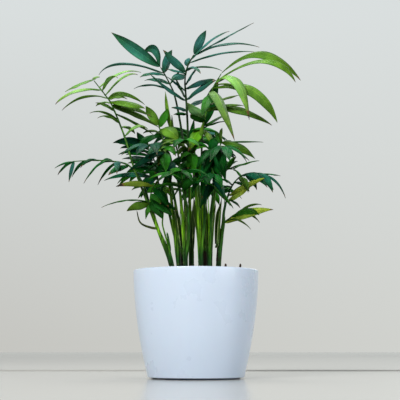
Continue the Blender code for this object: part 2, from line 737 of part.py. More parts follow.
def join(base, pieces, operation):
    """Applies one Boolean of the whole collection of pieces to the base, then removes the pieces."""
    modifier = base.modifiers.new("join", "BOOLEAN")
    modifier.operation = operation
    modifier.operand_type = "COLLECTION"
    modifier.collection = pieces
    modifier.solver = "EXACT"
    bpy.context.view_layer.update()
    graph = bpy.context.evaluated_depsgraph_get()
    mesh = bpy.data.meshes.new_from_object(base.evaluated_get(graph))
    base.modifiers.clear()
    base.data = mesh
    for piece in list(pieces.objects):
        bpy.data.objects.remove(piece)
    bpy.data.collections.remove(pieces)


def new_collection(name):
    """An empty collection in the scene."""
    made = bpy.data.collections.new(name)
    bpy.context.scene.collection.children.link(made)
    return made


def turned_solid(name, profile, steps, collection):
    """A solid turned round the z axis from (radius, height) points that run down its outer side."""
    mesh = bpy.data.meshes.new(name)
    points = [(radius * MM, 0, height * MM) for radius, height in profile]
    mesh.from_pydata(points, [(i, i + 1) for i in range(len(points) - 1)], [])
    made = bpy.data.objects.new(name, mesh)
    collection.objects.link(made)
    screw = made.modifiers.new("turn", "SCREW")
    screw.steps = screw.render_steps = steps
    screw.use_merge_vertices = True
    screw.merge_threshold = 0.00005
    screw.use_smooth_shade = True
    return made


def pot_radius(height):
    """The outer radius of the pot's wall at that height."""
    share = max(0.0, (height - FOOT_HEIGHT) / (POT_HEIGHT - FOOT_HEIGHT))
    return POT_BASE_RADIUS + (POT_TOP_RADIUS - POT_BASE_RADIUS) * (1 - (1 - min(share, 1)) ** POT_BELLY)


def heights(low, high, count):
    """That many heights from low to high."""
    return [low + (high - low) * i / (count - 1) for i in range(count)]


def make_pot(collection):
    """The pot's shell: floor, inner wall, rounded rim, outer wall and set-back foot."""
    lip = POT_WALL / 2
    rim_height = POT_HEIGHT - lip
    profile = [(0, POT_FLOOR)]
    profile += [(pot_radius(z) - POT_WALL, z) for z in heights(POT_FLOOR, rim_height, POT_WALL_POINTS)]
    centre = pot_radius(rim_height) - lip
    for step in range(1, RIM_POINTS):
        angle = math.pi * (1 - step / RIM_POINTS)
        profile.append((centre + lip * math.cos(angle), rim_height + lip * math.sin(angle)))
    inset, rise = BASE_ROUNDING
    wall = heights(FOOT_HEIGHT + rise, rim_height, POT_WALL_POINTS)
    profile += [(pot_radius(z), z) for z in reversed(wall)]
    profile.append((POT_BASE_RADIUS - inset, FOOT_HEIGHT))
    profile += [(FOOT_RADIUS, FOOT_HEIGHT), (FOOT_RADIUS, 0), (0, 0)]
    pot = turned_solid("pot", profile, TURN_STEPS, collection)
    pot.data.materials.append(material("white_plastic", WHITE_PLASTIC, 0.25))


def soil_bump(x, y):
    """How far the soil's surface stands above its mean height there, fading out at the pot's wall."""
    reach = math.hypot(x, y) / POT_TOP_RADIUS
    ripple = math.sin(LONG_RIPPLE[0] * x + 1) * math.cos(LONG_RIPPLE[1] * y)
    ripple += math.sin(SHORT_RIPPLE[0] * x - SHORT_RIPPLE[1] * y) / 2
    return SOIL_BUMP * ripple * max(0.0, 1 - reach * reach)


def make_soil(collection):
    """The soil: a turned plug with a bumpy top and a plain hole for each cane."""
    bottom = POT_FLOOR + SOIL_GAP
    profile = [
        (i * (pot_radius(SOIL_TOP) - POT_WALL - SOIL_GAP) / SOIL_RINGS, SOIL_TOP)
        for i in range(SOIL_RINGS)
    ]
    profile += [
        (pot_radius(z) - POT_WALL - SOIL_GAP, z)
        for z in reversed(heights(bottom, SOIL_TOP, SOIL_WALL_POINTS))
    ]
    profile.append((0, bottom))
    soil = turned_solid("soil", profile, SOIL_STEPS, collection)
    graph = bpy.context.evaluated_depsgraph_get()
    mesh = bpy.data.meshes.new_from_object(soil.evaluated_get(graph))
    soil.modifiers.clear()
    soil.data = mesh
    for vertex in mesh.vertices:
        if vertex.co.z > (SOIL_TOP - 0.5) * MM:
            vertex.co.z += soil_bump(vertex.co.x / MM, vertex.co.y / MM) * MM
    cutters = new_collection("hole_cutters")
    for name, palm in PALMS.items():
        hole = cane_mesh_below(palm)
        object_from(hole, "hole_" + name, cutters)
    join(soil, cutters, "DIFFERENCE")
    soil.data.materials.append(material("potting_soil", POTTING_SOIL, 0.95))


def cane_mesh_below(palm):
    """The round hole that a cane stands in: its own line, a little wider, from below its foot."""
    points = cane_line(palm)
    below = points[0] + (points[0] - points[1]).normalized() * HOLE_GAP
    clear = next(i for i, point in enumerate(points) if point.z > SOIL_TOP + 2 * SOIL_BUMP)
    wide = palm.radius + HOLE_GAP
    return tube_mesh([below, *points[1:clear + 1]], [wide] * (clear + 1), HOLE_SIDES)


def make_palm(name, plan, collection):
    """One palm: its cane, the stalks of its fronds and all their leaflets, joined in one solid."""
    palm = object_from(cane_mesh(PALMS[name]), name, collection)
    pieces = new_collection(name + "_pieces")
    for frond_name, frond in FRONDS.items():
        if frond.palm != name:
            continue
        object_from(stalk_mesh(frond), frond_name, pieces)
        for i, blade in enumerate(plan[frond_name]):
            object_from(blade.mesh(), f"{frond_name}_{i}", pieces)
    join(palm, pieces, "UNION")
    palm.data.materials.append(material(name + "_finish", PALMS[name].colour, 0.4))


def main():
    """Builds the whole plant in its pot."""
    clear_scene()
    plant = new_collection("potted_bamboo_palm")
    make_pot(plant)
    make_soil(plant)
    plan = planned_blades()
    for name in PALMS:
        make_palm(name, plan, plant)


if __name__ == "__main__":
    main()
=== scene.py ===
"""Looks of a potted bamboo palm: twelve young palms and two dry stubs in a round white pot.

The script loads the solid model as a fixed frame and builds a finer piece round each of its nodes:
stems with their sheaths, pleated leaflets, the turned pot and the soil. The z axis runs up through
the middle of the pot, the pot stands on z = 0, and -y is the front. Sizes and places are in
millimetres until a piece is finished; MM turns them into metres.
"""

import logging
import math
import random
from collections.abc import Iterable, Sequence
from dataclasses import dataclass, field, replace
from enum import Enum

import bmesh
import bpy
from mathutils import Matrix, Vector, noise
from mathutils.kdtree import KDTree


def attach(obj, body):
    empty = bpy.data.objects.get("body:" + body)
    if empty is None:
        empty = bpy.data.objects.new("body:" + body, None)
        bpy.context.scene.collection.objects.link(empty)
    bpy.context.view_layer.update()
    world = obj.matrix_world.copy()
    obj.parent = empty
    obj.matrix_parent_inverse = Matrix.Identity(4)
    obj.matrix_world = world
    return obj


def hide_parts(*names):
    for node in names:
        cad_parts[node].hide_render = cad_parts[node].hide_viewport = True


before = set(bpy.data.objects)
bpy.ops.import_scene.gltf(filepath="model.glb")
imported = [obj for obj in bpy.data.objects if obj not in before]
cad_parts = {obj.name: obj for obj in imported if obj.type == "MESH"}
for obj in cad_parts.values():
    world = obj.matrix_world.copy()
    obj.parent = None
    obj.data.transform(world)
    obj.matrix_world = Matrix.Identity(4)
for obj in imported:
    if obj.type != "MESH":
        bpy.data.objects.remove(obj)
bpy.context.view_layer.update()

LOG = logging.getLogger("bamboo_palm")
MM = 0.001
UP = Vector((0, 0, 1))
MERGE = 0.001
Point = tuple[float, float, float]
Colour = tuple[float, float, float]

# The pot and the soil, as in the solids.
POT_HEIGHT = 112.0
POT_TOP_RADIUS = 65.5
POT_BASE_RADIUS = 50.0
POT_BELLY = 1.8
POT_WALL = 2.4
POT_FLOOR = 4.0
FOOT_RADIUS = 46.0
FOOT_HEIGHT = 1.5
SOIL_TOP = 100.0
SOIL_GAP = 0.4

# The stems and leaflets, as in the solids.
CANE_RADIUS = 2.4
CANE_TAPER = 0.88
CANE_DEPTH = 22.0
CANE_PIECES = 5
COLLAR_HEIGHT = 0.5
COLLAR_LEAN = 0.3
RACHIS_PIECES = 4
CURVE_STEPS = 12
BLADE_ROOT_HALF_WIDTH = 0.55
BLADE_LATENESS = 0.9
BLADE_FULLNESS = 0.8
FAN_FIRST = 0.25
FAN_STAGGER = 0.15
FAN_BASE_SPREAD = 62.0
FAN_TIP_SPREAD = 36.0
FAN_LAST_SPREAD = 20.0
FAN_SPREAD_CHANCE = 8.0
FAN_END_LENGTH = 0.72
FAN_LENGTH_CHANCE = (0.9, 1.08)
FAN_DROOP_CHANCE = (0.7, 1.3)
FAN_RISE = 0.16
FAN_ROLL = 12.0
FAN_LEAN = 0.55
TURNS = ((0, 0), (0, 7), (7, 0), (-7, 0), (0, -7), (14, 4), (-14, 4), (14, -6), (-14, -6), (0, 16),
         (24, 0), (-24, 0), (0, -16), (32, 10), (-32, 10), (32, -10), (-32, -10))

# How finely the stems and leaflets are cut, and their own small shapes.
SHARP_EDGE = math.radians(50)
TIP_REACH = 0.7
LEAF_COLUMNS = 10
LEAF_ROW_LENGTH = 2.6
LEAF_ROWS = (12, 30)
LEAF_THICKNESS = 0.4
LEAF_BREADTH = 1.08
LEAF_PLEATS = 5
LEAF_PLEAT_DEPTH = 0.13
LEAF_PLEAT_WIDTH = 4.0
ROOT_FOLD = 0.8
ROOT_FOLD_REACH = 0.2
TIP_THINNING = 0.22
TIP_THINNING_START = 0.75
WAVE_SKEW = 0.3
TWIST_START = 0.2
CANE_STEP = 0.9
CANE_SIDES = 14
CANE_RIBS = (7, 0.012)
STALK_STEP = 2.2
STALK_SIDES = 10
STALK_RIBS = (5, 0.03)
STUB_RIBS = (5, 0.1)
DEPARTURE_REACH = 24
DEPARTURE_LEAST = 2
STALK_TURN = 2.4
FIRST_STALK_TURN = 4.2

# The ranges that each leaflet's irregularities are drawn from.
LEAF_TONE_MIX = (0.0, 0.25)
LEAF_FOLDS = (0.75, 1.3)
LEAF_TWISTS = (-14, 14)
LEAF_WAVES = (0.15, 0.5)
LEAF_WAVE_COUNTS = (1.2, 2.6)
LEAF_DRYNESS = (0.2, 2.0)
# How much painted light lifts one half of a leaflet and painted shade darkens the other.
LEAF_SHADES = (0.12, 0.42)
LEAF_BRIGHTNESS = (0.7, 1.35)
WITHERED = 0.22

# Where the greens change and painted shade darkens the crown: heights over the floor, reach from the
# middle.
FOOT_FADES = (102, 132)
STEM_FRESHENS = (120, 160)
CROWN_SHADE_FADES = (215, 270)
OUTER_SHADE_FADES = (15, 80)
DEEPEST_CROWN_SHADE = 0.65

# Leaflets, stalks and canes that differ from the rest.
WIDEST_LATE = {("arch_right", 0): 1.45, ("arch_right", 1): 1.3, ("arch_right", 2): 1.1}
DARK_STALKS = {"top": (0.35, 1.25), "top_left": (0.35, 1.25), "inner_left": (0.5, 1.0)}
BARE_CANES = ("palm_left_mid", "palm_tall_left", "palm_tall_right", "palm_front_left")
STEM_FRESHNESS = {"palm_far_right": 0.2, "palm_left": 0.8, "palm_right_mid": 0.9, "palm_front": 0.9}

# Colours that belong to one place only, and the seeds of the random numbers.
FOOT_SHADE = (0.06, 0.08, 0.13)
RING_TINT = (0.07, 0.09, 0.03)
PALE_EDGE = (0.42, 0.52, 0.24)
PEAT_TINT = (0.04, 0.027, 0.018)
CRUMB_TINTS = ((0.045, 0.03, 0.02), (0.028, 0.018, 0.012), (0.075, 0.05, 0.03), (0.14, 0.09, 0.05))
CRUMB_SHARES = (5, 4, 2, 0.6)
SHEEN_TINT = (0.35, 0.9, 0.4, 1.0)
DRYING_TINT = (0.11, 0.062, 0.022)
DRY_TIP_TINT = (0.022, 0.014, 0.009)
SPECK_TINT = (0.05, 0.035, 0.015)
FIBRE_TINT = (0.1, 0.065, 0.035)
VEIN_SPACING = 47.0
PALM_SEED = 100
STUB_SEED = 300


class Tone(Enum):
    """The greens and browns of the plant, as linear red, green and blue; some hold painted light."""

    # A bluish green, partly the leaves' own and partly a painted reflection of the pale room.
    TEAL = (0.019, 0.085, 0.06)
    SEA = (0.005, 0.054, 0.03)
    DEEP = (0.004, 0.07, 0.007)
    MID = (0.024, 0.16, 0.008)
    FRESH = (0.085, 0.185, 0.014)
    OLIVE = (0.06, 0.14, 0.012)
    VIVID = (0.11, 0.32, 0.01)
    PALE = (0.14, 0.29, 0.055)
    YELLOWING = (0.12, 0.17, 0.015)
    # A pale green-white that is a painted sheen, the room's reflection on leaflets that face away from
    # it.
    PAINTED_SHEEN_MINT = (0.46, 0.9, 0.3)
    # A yellow-green lifted far above a leaflet's own colour: painted light on leaflets that face away
    # from the lamps.
    PAINTED_LIGHT_LIME = (0.55, 0.75, 0.07)
    STEM_FRESH = (0.13, 0.33, 0.008)
    STEM_DEEP = (0.007, 0.064, 0.009)
    STRAW = (0.2, 0.13, 0.055)
    HUSK = (0.03, 0.019, 0.013)
    STEM_FOOT = (0.014, 0.02, 0.013)


class Slot(Enum):
    """The record's material slots."""

    POT = "pot"
    SOIL = "soil"
    DARK = "fronds_dark"
    BRIGHT = "fronds_bright"
    DRY = "dry_stalk"


@dataclass(frozen=True)
class Palm:
    """One young palm's cane: where it stands in the soil and where it ends."""

    foot: tuple[float, float]
    top: Point
    radius: float = CANE_RADIUS
    slot: Slot = Slot.DARK


@dataclass(frozen=True)
class Leaflet:
    """One leaflet: its share of the way along the rachis, its tip, and how it arches and turns.

    rise is how far its middle arches above the straight line from root to tip, roll the degrees by
    which its upper face is turned to the front, and lean how far along the line the arch is highest.
    """

    at: float
    tip: Point
    rise: float
    width: float
    roll: float = 0.0
    lean: float = 0.5


@dataclass(frozen=True)
class Fan:
    """Leaflets placed by rule: pairs, the size of the largest, the droop of a tip, and a seed."""

    pairs: int
    length: float
    width: float
    droop: float
    seed: int


@dataclass(frozen=True)
class Frond:
    """One frond: how far up the cane its stalk leaves, the stalk's points, and its leaflets."""

    palm: str
    leave: float
    petiole: tuple[Point, ...]
    rachis: tuple[Point, ...]
    leaflets: tuple[Leaflet, ...] = ()
    fan: Fan | None = None


@dataclass(frozen=True)
class FrondLook:
    """How a frond's leaflets look: two greens, how many take the second, and how dry and folded.

    singles names the leaflets, by their number in the frond, whose green isn't left to chance.
    """

    tone: Tone
    second: Tone
    second_share: float = 0.3
    dryness: float = 0.03
    fold: float = 0.32
    singles: dict[Tone, tuple[int, ...]] = field(default_factory=dict)

    def tone_of(self, number: int, takes_second: bool) -> Tone:
        """The green of the leaflet with that number: its own, or the one that chance gave it."""
        drawn = self.second if takes_second else self.tone
        return next((tone for tone, numbers in self.singles.items() if number in numbers), drawn)


PALMS = {
    "palm_left": Palm((-20.5, -6), (-40, -8, 160), slot=Slot.BRIGHT),
    "palm_left_mid": Palm((-16.5, 3), (-23, 1, 172)),
    "palm_tall_left": Palm((-10.8, -3), (-11, -3, 188)),
    "palm_tall_right": Palm((-4, 8), (-6, 6, 190)),
    "palm_front": Palm((5, -11), (3, -15, 178)),
    "palm_right": Palm((10, 3), (8, 0, 188), slot=Slot.BRIGHT),
    "palm_right_mid": Palm((14.5, -7), (16, -7, 180)),
    "palm_far_right": Palm((22, -1), (26.5, -2, 160), slot=Slot.BRIGHT),
    "palm_back_right": Palm((12, 14), (15, 22, 176)),
    "palm_back": Palm((5, 20), (5, 27, 178)),
    "palm_front_left": Palm((-10.5, -17), (-12.5, -23, 168)),
    "palm_back_left": Palm((-13, 18), (-19, 27, 172)),
    "dry_stub_near": Palm((29, -26), (30.5, -27, 117.5), 1.3, Slot.DRY),
    "dry_stub_far": Palm((43, -18), (46, -19, 118), 1.2, Slot.DRY),
}

FRONDS = {
    # The top left frond, dark and held high.
    "top_left": Frond(
        "palm_tall_left", 0.9,
        ((-12, 2, 216), (-14, 7, 250)),
        ((-19, 14, 283), (-24, 20, 306), (-30, 25, 321), (-40, 33, 341)),
        (
            Leaflet(1.0, (-96, 45, 384), 0, 12, -70),
            Leaflet(1.0, (-60, 40, 359), 15, 10, -60, 0.05),
            Leaflet(0.85, (-107, 20, 328), 13, 9, 10, 0.8),
            Leaflet(0.85, (-27, 42, 363), 1, 10, 80),
            Leaflet(0.8, (-61, 6, 322), 4, 7, 30),
            Leaflet(0.6, (-58, 44, 328), 4, 7, 30),
            Leaflet(0.6, (-14, 14, 335), 2, 8, 40),
            Leaflet(0.45, (-68, 14, 311), 6, 7, 10, 0.6),
        ),
    ),
    # The tallest frond.
    "top": Frond(
        "palm_tall_right", 0.9,
        ((-7, 5, 215), (-8.5, 4, 250)),
        ((-9.5, 3, 276), (-11, 3, 300), (-12, 2, 318), (-9, 1, 333), (-2, 0, 346)),
        (
            Leaflet(1.0, (11, 4, 374), 1, 8, 80),
            Leaflet(0.97, (68, -6, 352), 9, 7, 25),
            Leaflet(0.97, (63, 6, 383), 1, 6, 10),
            Leaflet(0.9, (36, -5, 370), 6, 6, 25),
            Leaflet(0.85, (62, -16, 344), 5, 6, 10),
            Leaflet(0.75, (27.5, -24, 321), 4, 6, 8, 0.6),
            Leaflet(0.72, (5, -28, 317), 6, 7, 10),
            Leaflet(0.7, (-36, 4, 352), 0, 9, 60),
            Leaflet(0.8, (-12.5, 16, 343), 3, 8, 60),
            Leaflet(0.68, (-32, -16, 325), 1, 6, 30),
            Leaflet(0.66, (-26, -26, 310), 2, 9, 40),
            Leaflet(0.45, (20, -12, 315), 2, 9, 50),
            Leaflet(0.28, (21.5, -16, 313), 3, 9, 55),
            Leaflet(0.15, (16, 18, 300), 3, 7, 30),
            Leaflet(0.27, (-50, -10, 322), -1, 8, 45),
            Leaflet(0.42, (-32, -22, 316), 1, 7, 40),
            Leaflet(0.12, (-26, -12, 284), 2, 10, 30),
            Leaflet(0.5, (1, -14, 327), 2, 9, 50),
            Leaflet(0.3, (-22, -12, 317), 1, 8, 45),
        ),
    ),
    # The bright frond that arches out to the right.
    "arch_right": Frond(
        "palm_right", 0.9,
        ((6.5, -2, 212), (6, -6, 240)),
        ((7.5, -12, 261), (12, -19, 283), (17, -26, 300), (27, -36, 316)),
        (
            Leaflet(1.0, (109, -38, 307), 25.5, 13, 45, 0.55),
            Leaflet(0.85, (101, -66, 298), 23, 11, 30, 0.75),
            Leaflet(0.7, (82.5, -62, 257), 20, 13, 45, 0.7),
            Leaflet(0.8, (54, -66, 259), 27, 12, 20, 0.72),
            Leaflet(0.6, (39, -68, 237.5), 12, 13, 0, 0.2),
            Leaflet(0.35, (79.5, -26, 262), 8, 12, 45),
            Leaflet(0.4, (47, 10, 303), 2, 6, 15),
            Leaflet(0.6, (6, -56, 264.5), 5, 10),
            Leaflet(0.75, (45.5, -10, 307), 3, 6, 10),
            Leaflet(0.2, (-9, -36, 284), 0, 14),
            Leaflet(0.02, (32, -18, 268), 2, 6, 10),
            Leaflet(0.05, (33, 4, 281), 1, 6, 10),
            Leaflet(0.03, (-7, -46, 231), 5, 11, 20),
            Leaflet(0.0, (18, -34, 239), 3, 8),
            Leaflet(0.06, (24, 7, 318), 1, 12, 55),
            Leaflet(0.0, (-14, -36, 228), 4, 9),
        ),
    ),
    # The bright frond on the left.
    "arch_left": Frond(
        "palm_left", 0.95,
        ((-52, -9, 187), (-65.5, -16, 220)),
        ((-75, -22, 251), (-87.5, -28, 282), (-94, -31, 292), (-107, -38, 308)),
        (
            Leaflet(1.0, (-135, -46, 293), 2, 7, 20),
            Leaflet(0.8, (-142.5, -62, 276), 8, 7, 25, 0.65),
            Leaflet(0.64, (-143, -8, 282), 9, 5, 0, 0.55),
            Leaflet(0.7, (-60, -46, 311), 8, 7, 25, 0.6),
            Leaflet(0.85, (-59, -6, 324), 8, 5, 8),
            Leaflet(0.78, (-80, -52, 306), 8, 5),
            Leaflet(1.0, (-102, -20, 315), 2, 5),
            Leaflet(0.64, (-54, -18, 286), 9, 9, 40, 0.4),
            Leaflet(0.5, (-38.5, -24, 260), 4, 9, 45),
            Leaflet(0.58, (-52, -48, 275), 2, 9, 45),
            Leaflet(0.42, (-102.5, -56, 279), 3, 5),
            Leaflet(0.28, (-110, -40, 272), 5, 5),
            Leaflet(0.22, (-101, -48, 265), 5, 5),
            Leaflet(0.55, (-108, 2, 289), 3, 5),
            Leaflet(0.38, (-46, 2, 258), 2, 5),
            Leaflet(0.15, (-66, 14, 261), 4, 6),
            Leaflet(0.0, (-50, -20, 259), 8, 7, 25),
        ),
    ),
    # The long low frond on the left, held level.
    "level_left": Frond(
        "palm_left", 1.0,
        ((-48, -8, 180), (-57, -5, 205)),
        ((-72, 0, 224), (-92, 8, 230), (-113.5, 15, 232), (-135, 22, 232)),
        (
            Leaflet(1.0, (-154, 24, 225), 2, 7, 10),
            Leaflet(0.97, (-152, 34, 219), 4, 5),
            Leaflet(0.97, (-137, 14, 208), 3, 4.5),
            Leaflet(0.7, (-136, 30, 216), 6, 5),
            Leaflet(0.3, (-119, -4, 204), 9, 7),
            Leaflet(0.05, (-106, 14, 205), 11, 7),
            Leaflet(0.2, (-82, -28, 210), 5, 6),
            Leaflet(0.55, (-124, 34, 230), 4, 7, 10),
            Leaflet(0.3, (-106, 30, 230), 5, 7, 10),
            Leaflet(0.6, (-123, -2, 221), 5, 6),
            Leaflet(0.0, (-91, -28, 209), 3, 8, 30),
        ),
    ),
    # The lowest frond on the left.
    "low_left": Frond(
        "palm_left", 1.0,
        ((-45, -10, 172),),
        ((-48, -12, 181), (-47, -16, 192), (-44, -20, 199)),
        (
            Leaflet(0.1, (-99, -14, 177), 5, 5, 5),
            Leaflet(0.0, (-72, -22, 172), 3, 10, 55),
            Leaflet(1.0, (-83, -28, 197), 4, 9, 45),
            Leaflet(0.9, (-28, -30, 175), 4, 9, 40),
            Leaflet(1.0, (-30, -36, 206), 4, 8, 30),
            Leaflet(0.0, (-52, -26, 163), 3, 5),
        ),
    ),
    # A dried leaf that curls out from the leftmost cane, and the stump of one that was cut.
    "dry_curl": Frond("palm_left", 0.95, (), ((-46, -9, 156), (-58, -12, 161), (-62, -14, 174))),
    "cut_stump": Frond(
        "palm_left", 0.58, (), ((-27.5, -6.5, 134), (-28.8, -6.5, 143), (-30.5, -6.5, 152))
    ),
    # A dark frond inside the left of the crown, on a thin dark stalk.
    "inner_left": Frond(
        "palm_left_mid", 0.75,
        ((-24, 3, 160), (-32, 3, 184)),
        ((-40, 2, 205), (-44, 1, 228), (-53, -3, 244)),
        (
            Leaflet(1.0, (-88, -12, 246), 5, 10, -45),
            Leaflet(0.9, (-64, 8, 262), 1, 8, 40),
            Leaflet(0.75, (-81, -20, 239), 4, 10, 20),
            Leaflet(0.6, (-79, 0, 231), 3, 9, 30),
            Leaflet(0.5, (-68, -30, 223), 4, 10, 20),
            Leaflet(0.75, (-24, -14, 256), 4, 9, 30),
            Leaflet(0.4, (-70, 22, 222), 5, 8),
            Leaflet(0.1, (-98, 2, 208), 7, 8, 40),
            Leaflet(0.2, (-60, 24, 192), 5, 8),
            Leaflet(0.3, (-22, -16, 200), 6, 9, 20),
            Leaflet(0.0, (-40, -22, 182), 4, 10, 20),
            Leaflet(0.85, (-82, -10, 234), 4, 9, 30),
        ),
    ),
    # The olive frond left of the middle.
    "olive": Frond(
        "palm_left_mid", 1.0,
        ((-27, -3, 200), (-30, -8, 228)),
        ((-33, -10, 242), (-37, -9, 257), (-40, -8, 266)),
        (
            Leaflet(1.0, (-54, -4, 288), 1, 9, 60),
            Leaflet(0.9, (-30, -4, 285), 1, 8, 50),
            Leaflet(0.8, (-18, -28, 245), 5, 13, 50),
            Leaflet(0.5, (-62, -30, 236), 6, 9, 30),
            Leaflet(0.3, (-10, -36, 236), 5, 9, 30),
            Leaflet(0.2, (-50, -40, 222), 6, 9, 20),
            Leaflet(0.6, (-58, 16, 258), 4, 7),
            Leaflet(0.1, (-34, -46, 216), 5, 9),
            Leaflet(0.0, (-27, -30, 192), 6, 10, 10),
        ),
    ),
    # A spear that hasn't opened, beside a young one.
    "spear": Frond(
        "palm_tall_right", 0.5,
        ((-9.5, 9, 170), (-15, 9, 212)),
        ((-20, 4, 240), (-25, 0, 258)),
        (
            Leaflet(1.0, (-33, -3, 304), 1, 5, 70),
            Leaflet(0.3, (-25.5, -12, 276), 0, 5, 70),
        ),
    ),
    # The frond on the right of the middle.
    "mid_right": Frond(
        "palm_right_mid", 0.95,
        ((20, -7, 204), (23.5, -7, 225)),
        ((24, -7, 235), (25, -8, 242), (27, -9, 248)),
        (
            Leaflet(1.0, (62, -18, 228), 5, 11, 45),
            Leaflet(0.9, (55, -4, 225), 8, 5),
            Leaflet(0.95, (72, 4, 250), 1, 5, 5),
            Leaflet(0.9, (38, 10, 253), 1, 5),
            Leaflet(0.9, (20, 2, 260), 0, 7, 80),
            Leaflet(1.0, (28, -4, 264), 0, 8, 80),
            Leaflet(0.1, (4, -36, 225), 4, 9, 45),
            Leaflet(0.15, (39, -38, 226), 4, 9, 45),
            Leaflet(0.4, (46, -30, 236), 4, 7, 20),
            Leaflet(0.0, (20, -40, 205), 5, 10),
        ),
    ),
    # The frond that arches over the rim on the right.
    "low_right": Frond(
        "palm_far_right", 1.0,
        ((29, -4, 172),),
        ((32, -4, 185), (38, -5, 201), (47, -6, 211), (58, -6, 215), (68, -6, 214)),
        (
            Leaflet(1.0, (94, -12, 187), 9, 7, 10, 0.75),
            Leaflet(1.0, (90, 2, 213), 1, 5, 10),
            Leaflet(0.88, (80, -22, 191.5), 8, 9, 30, 0.7),
            Leaflet(0.92, (83, 8, 199), 6, 7, 10),
            Leaflet(0.62, (74, -28, 196), 8, 9, 30),
            Leaflet(0.12, (71.5, -28, 206), 2, 9, 60),
            Leaflet(0.55, (54, -32, 190), 6, 7, 10),
            Leaflet(0.0, (46, -24, 175), 4, 5),
            Leaflet(0.7, (66, 24, 201), 5, 7),
            Leaflet(0.4, (58, 28, 200), 5, 7),
            Leaflet(0.3, (22, -32, 190), 4, 6),
        ),
    ),
    # The lowest frond on the right, two broad leaflets over the rim.
    "lowest_right": Frond(
        "palm_far_right", 0.95,
        (),
        ((29, -2.5, 161.5), (37, -3, 168), (46, -4, 174)),
        (
            Leaflet(0.05, (81, -12, 175), 5, 11, 60, 0.45),
            Leaflet(1.0, (70, 3, 182), 4, 6, 20),
            Leaflet(0.5, (66, -22, 168), 6, 9, 50),
            Leaflet(0.9, (68, 10, 164), 5, 5),
            Leaflet(0.2, (57, -22, 153), 6, 5),
        ),
    ),
    # A short frond behind it.
    "short_right": Frond(
        "palm_back_right", 1.0,
        ((20, 18, 198),),
        ((28, 10, 216), (33, 8, 221), (40, 6, 221)),
        (
            Leaflet(0.1, (43, 2, 233), 4, 9, 55),
            Leaflet(0.4, (45, 14, 231), 3, 6),
            Leaflet(0.6, (52, 18, 229), 1, 5),
            Leaflet(0.9, (68, 10, 231), 2, 5),
            Leaflet(1.0, (60, -6, 205), 4, 6),
        ),
    ),
    # The fronds that come forward and hide the stalks.
    "forward_left": Frond(
        "palm_front_left", 1.0,
        ((-18, -27, 200),),
        ((-23, -29, 216), (-30, -33, 229), (-40, -42, 236), (-50, -56, 236)),
        (
            Leaflet(0.45, (-70, -58, 207), 4, 11, -30),
            Leaflet(0.12, (-42, -50, 207), 5, 9, 20),
            Leaflet(0.5, (-20, -66, 222), 7, 9, 20),
            Leaflet(0.7, (-76, -50, 226), 5, 8),
            Leaflet(0.8, (-38, -86, 220), 6, 9),
            Leaflet(1.0, (-72, -82, 222), 4, 9),
            Leaflet(1.0, (-58, -92, 218), 4, 9),
            Leaflet(0.02, (-40, -34, 192), 4, 10, 20),
            Leaflet(0.4, (-30, -62, 206), 5, 10, 10),
            Leaflet(0.25, (-58, -44, 214), 5, 9),
        ),
    ),
    "forward_right": Frond(
        "palm_front", 0.5,
        ((8.5, -17, 165), (9, -21, 195)),
        ((10, -27, 223), (15, -34, 231), (22, -46, 235), (29, -62, 233)),
        (
            Leaflet(0.05, (12, -50, 174), 8, 10),
            Leaflet(0.2, (17, -58, 180), 9, 9),
            Leaflet(0.3, (30, -54, 200), 6, 9),
            Leaflet(0.5, (0, -68, 208), 6, 9),
            Leaflet(0.6, (54, -62, 218), 6, 9),
            Leaflet(0.8, (14, -90, 212), 6, 9),
            Leaflet(1.0, (50, -84, 216), 4, 9),
            Leaflet(1.0, (33, -96, 212), 4, 9),
            Leaflet(0.0, (-4, -50, 186), 6, 11),
            Leaflet(0.05, (41, -52, 224), 8, 9, 30),
            Leaflet(0.4, (30, -66, 196), 7, 10, 10),
            Leaflet(0.7, (27, -84, 205), 5, 10),
        ),
    ),
    "centre": Frond(
        "palm_front", 1.0,
        ((-1, -17, 200),),
        ((-3, -20, 216), (-5, -24, 230), (-9, -31, 240), (-14, -42, 243)),
        (
            Leaflet(0.5, (-19, -42, 226), 7, 7, 20),
            Leaflet(0.6, (12, -44, 230), 8, 8, 20),
            Leaflet(0.3, (-30, -30, 214), 6, 10, 40),
            Leaflet(0.1, (-16, -44, 198), 6, 10),
            Leaflet(0.3, (5, -46, 205), 6, 10, 10),
            Leaflet(0.8, (-36, -58, 234), 5, 8),
            Leaflet(0.9, (4, -70, 230), 6, 8),
            Leaflet(1.0, (-22, -76, 228), 5, 9),
            Leaflet(0.35, (-15, -62, 225), 6, 8, 10),
            Leaflet(0.0, (-26, -34, 188), 6, 11, 20),
            Leaflet(0.45, (-2, -52, 204), 7, 11, 10),
        ),
    ),
    "forward_low": Frond(
        "palm_front_left", 0.5,
        ((-7.5, -25, 152), (-9, -30, 176)),
        ((-13, -38, 190), (-14, -50, 202), (-14, -68, 206)),
        fan=Fan(4, 44, 9, 0.5, 8),
    ),
    "forward_side": Frond(
        "palm_right_mid", 0.45,
        ((15, -14, 150), (17, -19, 178)),
        ((18, -27, 196), (18, -42, 205), (15, -60, 206)),
        (
            Leaflet(0.05, (33, -42, 172), 5, 10),
            Leaflet(0.4, (29, -60, 180), 5, 9),
            Leaflet(0.8, (26, -82, 187), 5, 9),
            Leaflet(1.0, (10, -92, 188), 4, 9),
            Leaflet(0.6, (4, -74, 182), 5, 9),
            Leaflet(0.2, (2, -52, 174), 5, 10),
        ),
    ),
    # The fronds at the back.
    "back_high": Frond(
        "palm_back", 1.0,
        ((2, 33, 215), (-1, 40, 240)),
        ((-3, 48, 256), (-5, 64, 273), (-6, 88, 278)),
        fan=Fan(6, 60, 10, 0.4, 11),
    ),
    "back_low": Frond(
        "palm_back", 0.85,
        ((10, 38, 188),),
        ((12, 47, 201), (14, 65, 212), (15, 88, 212)),
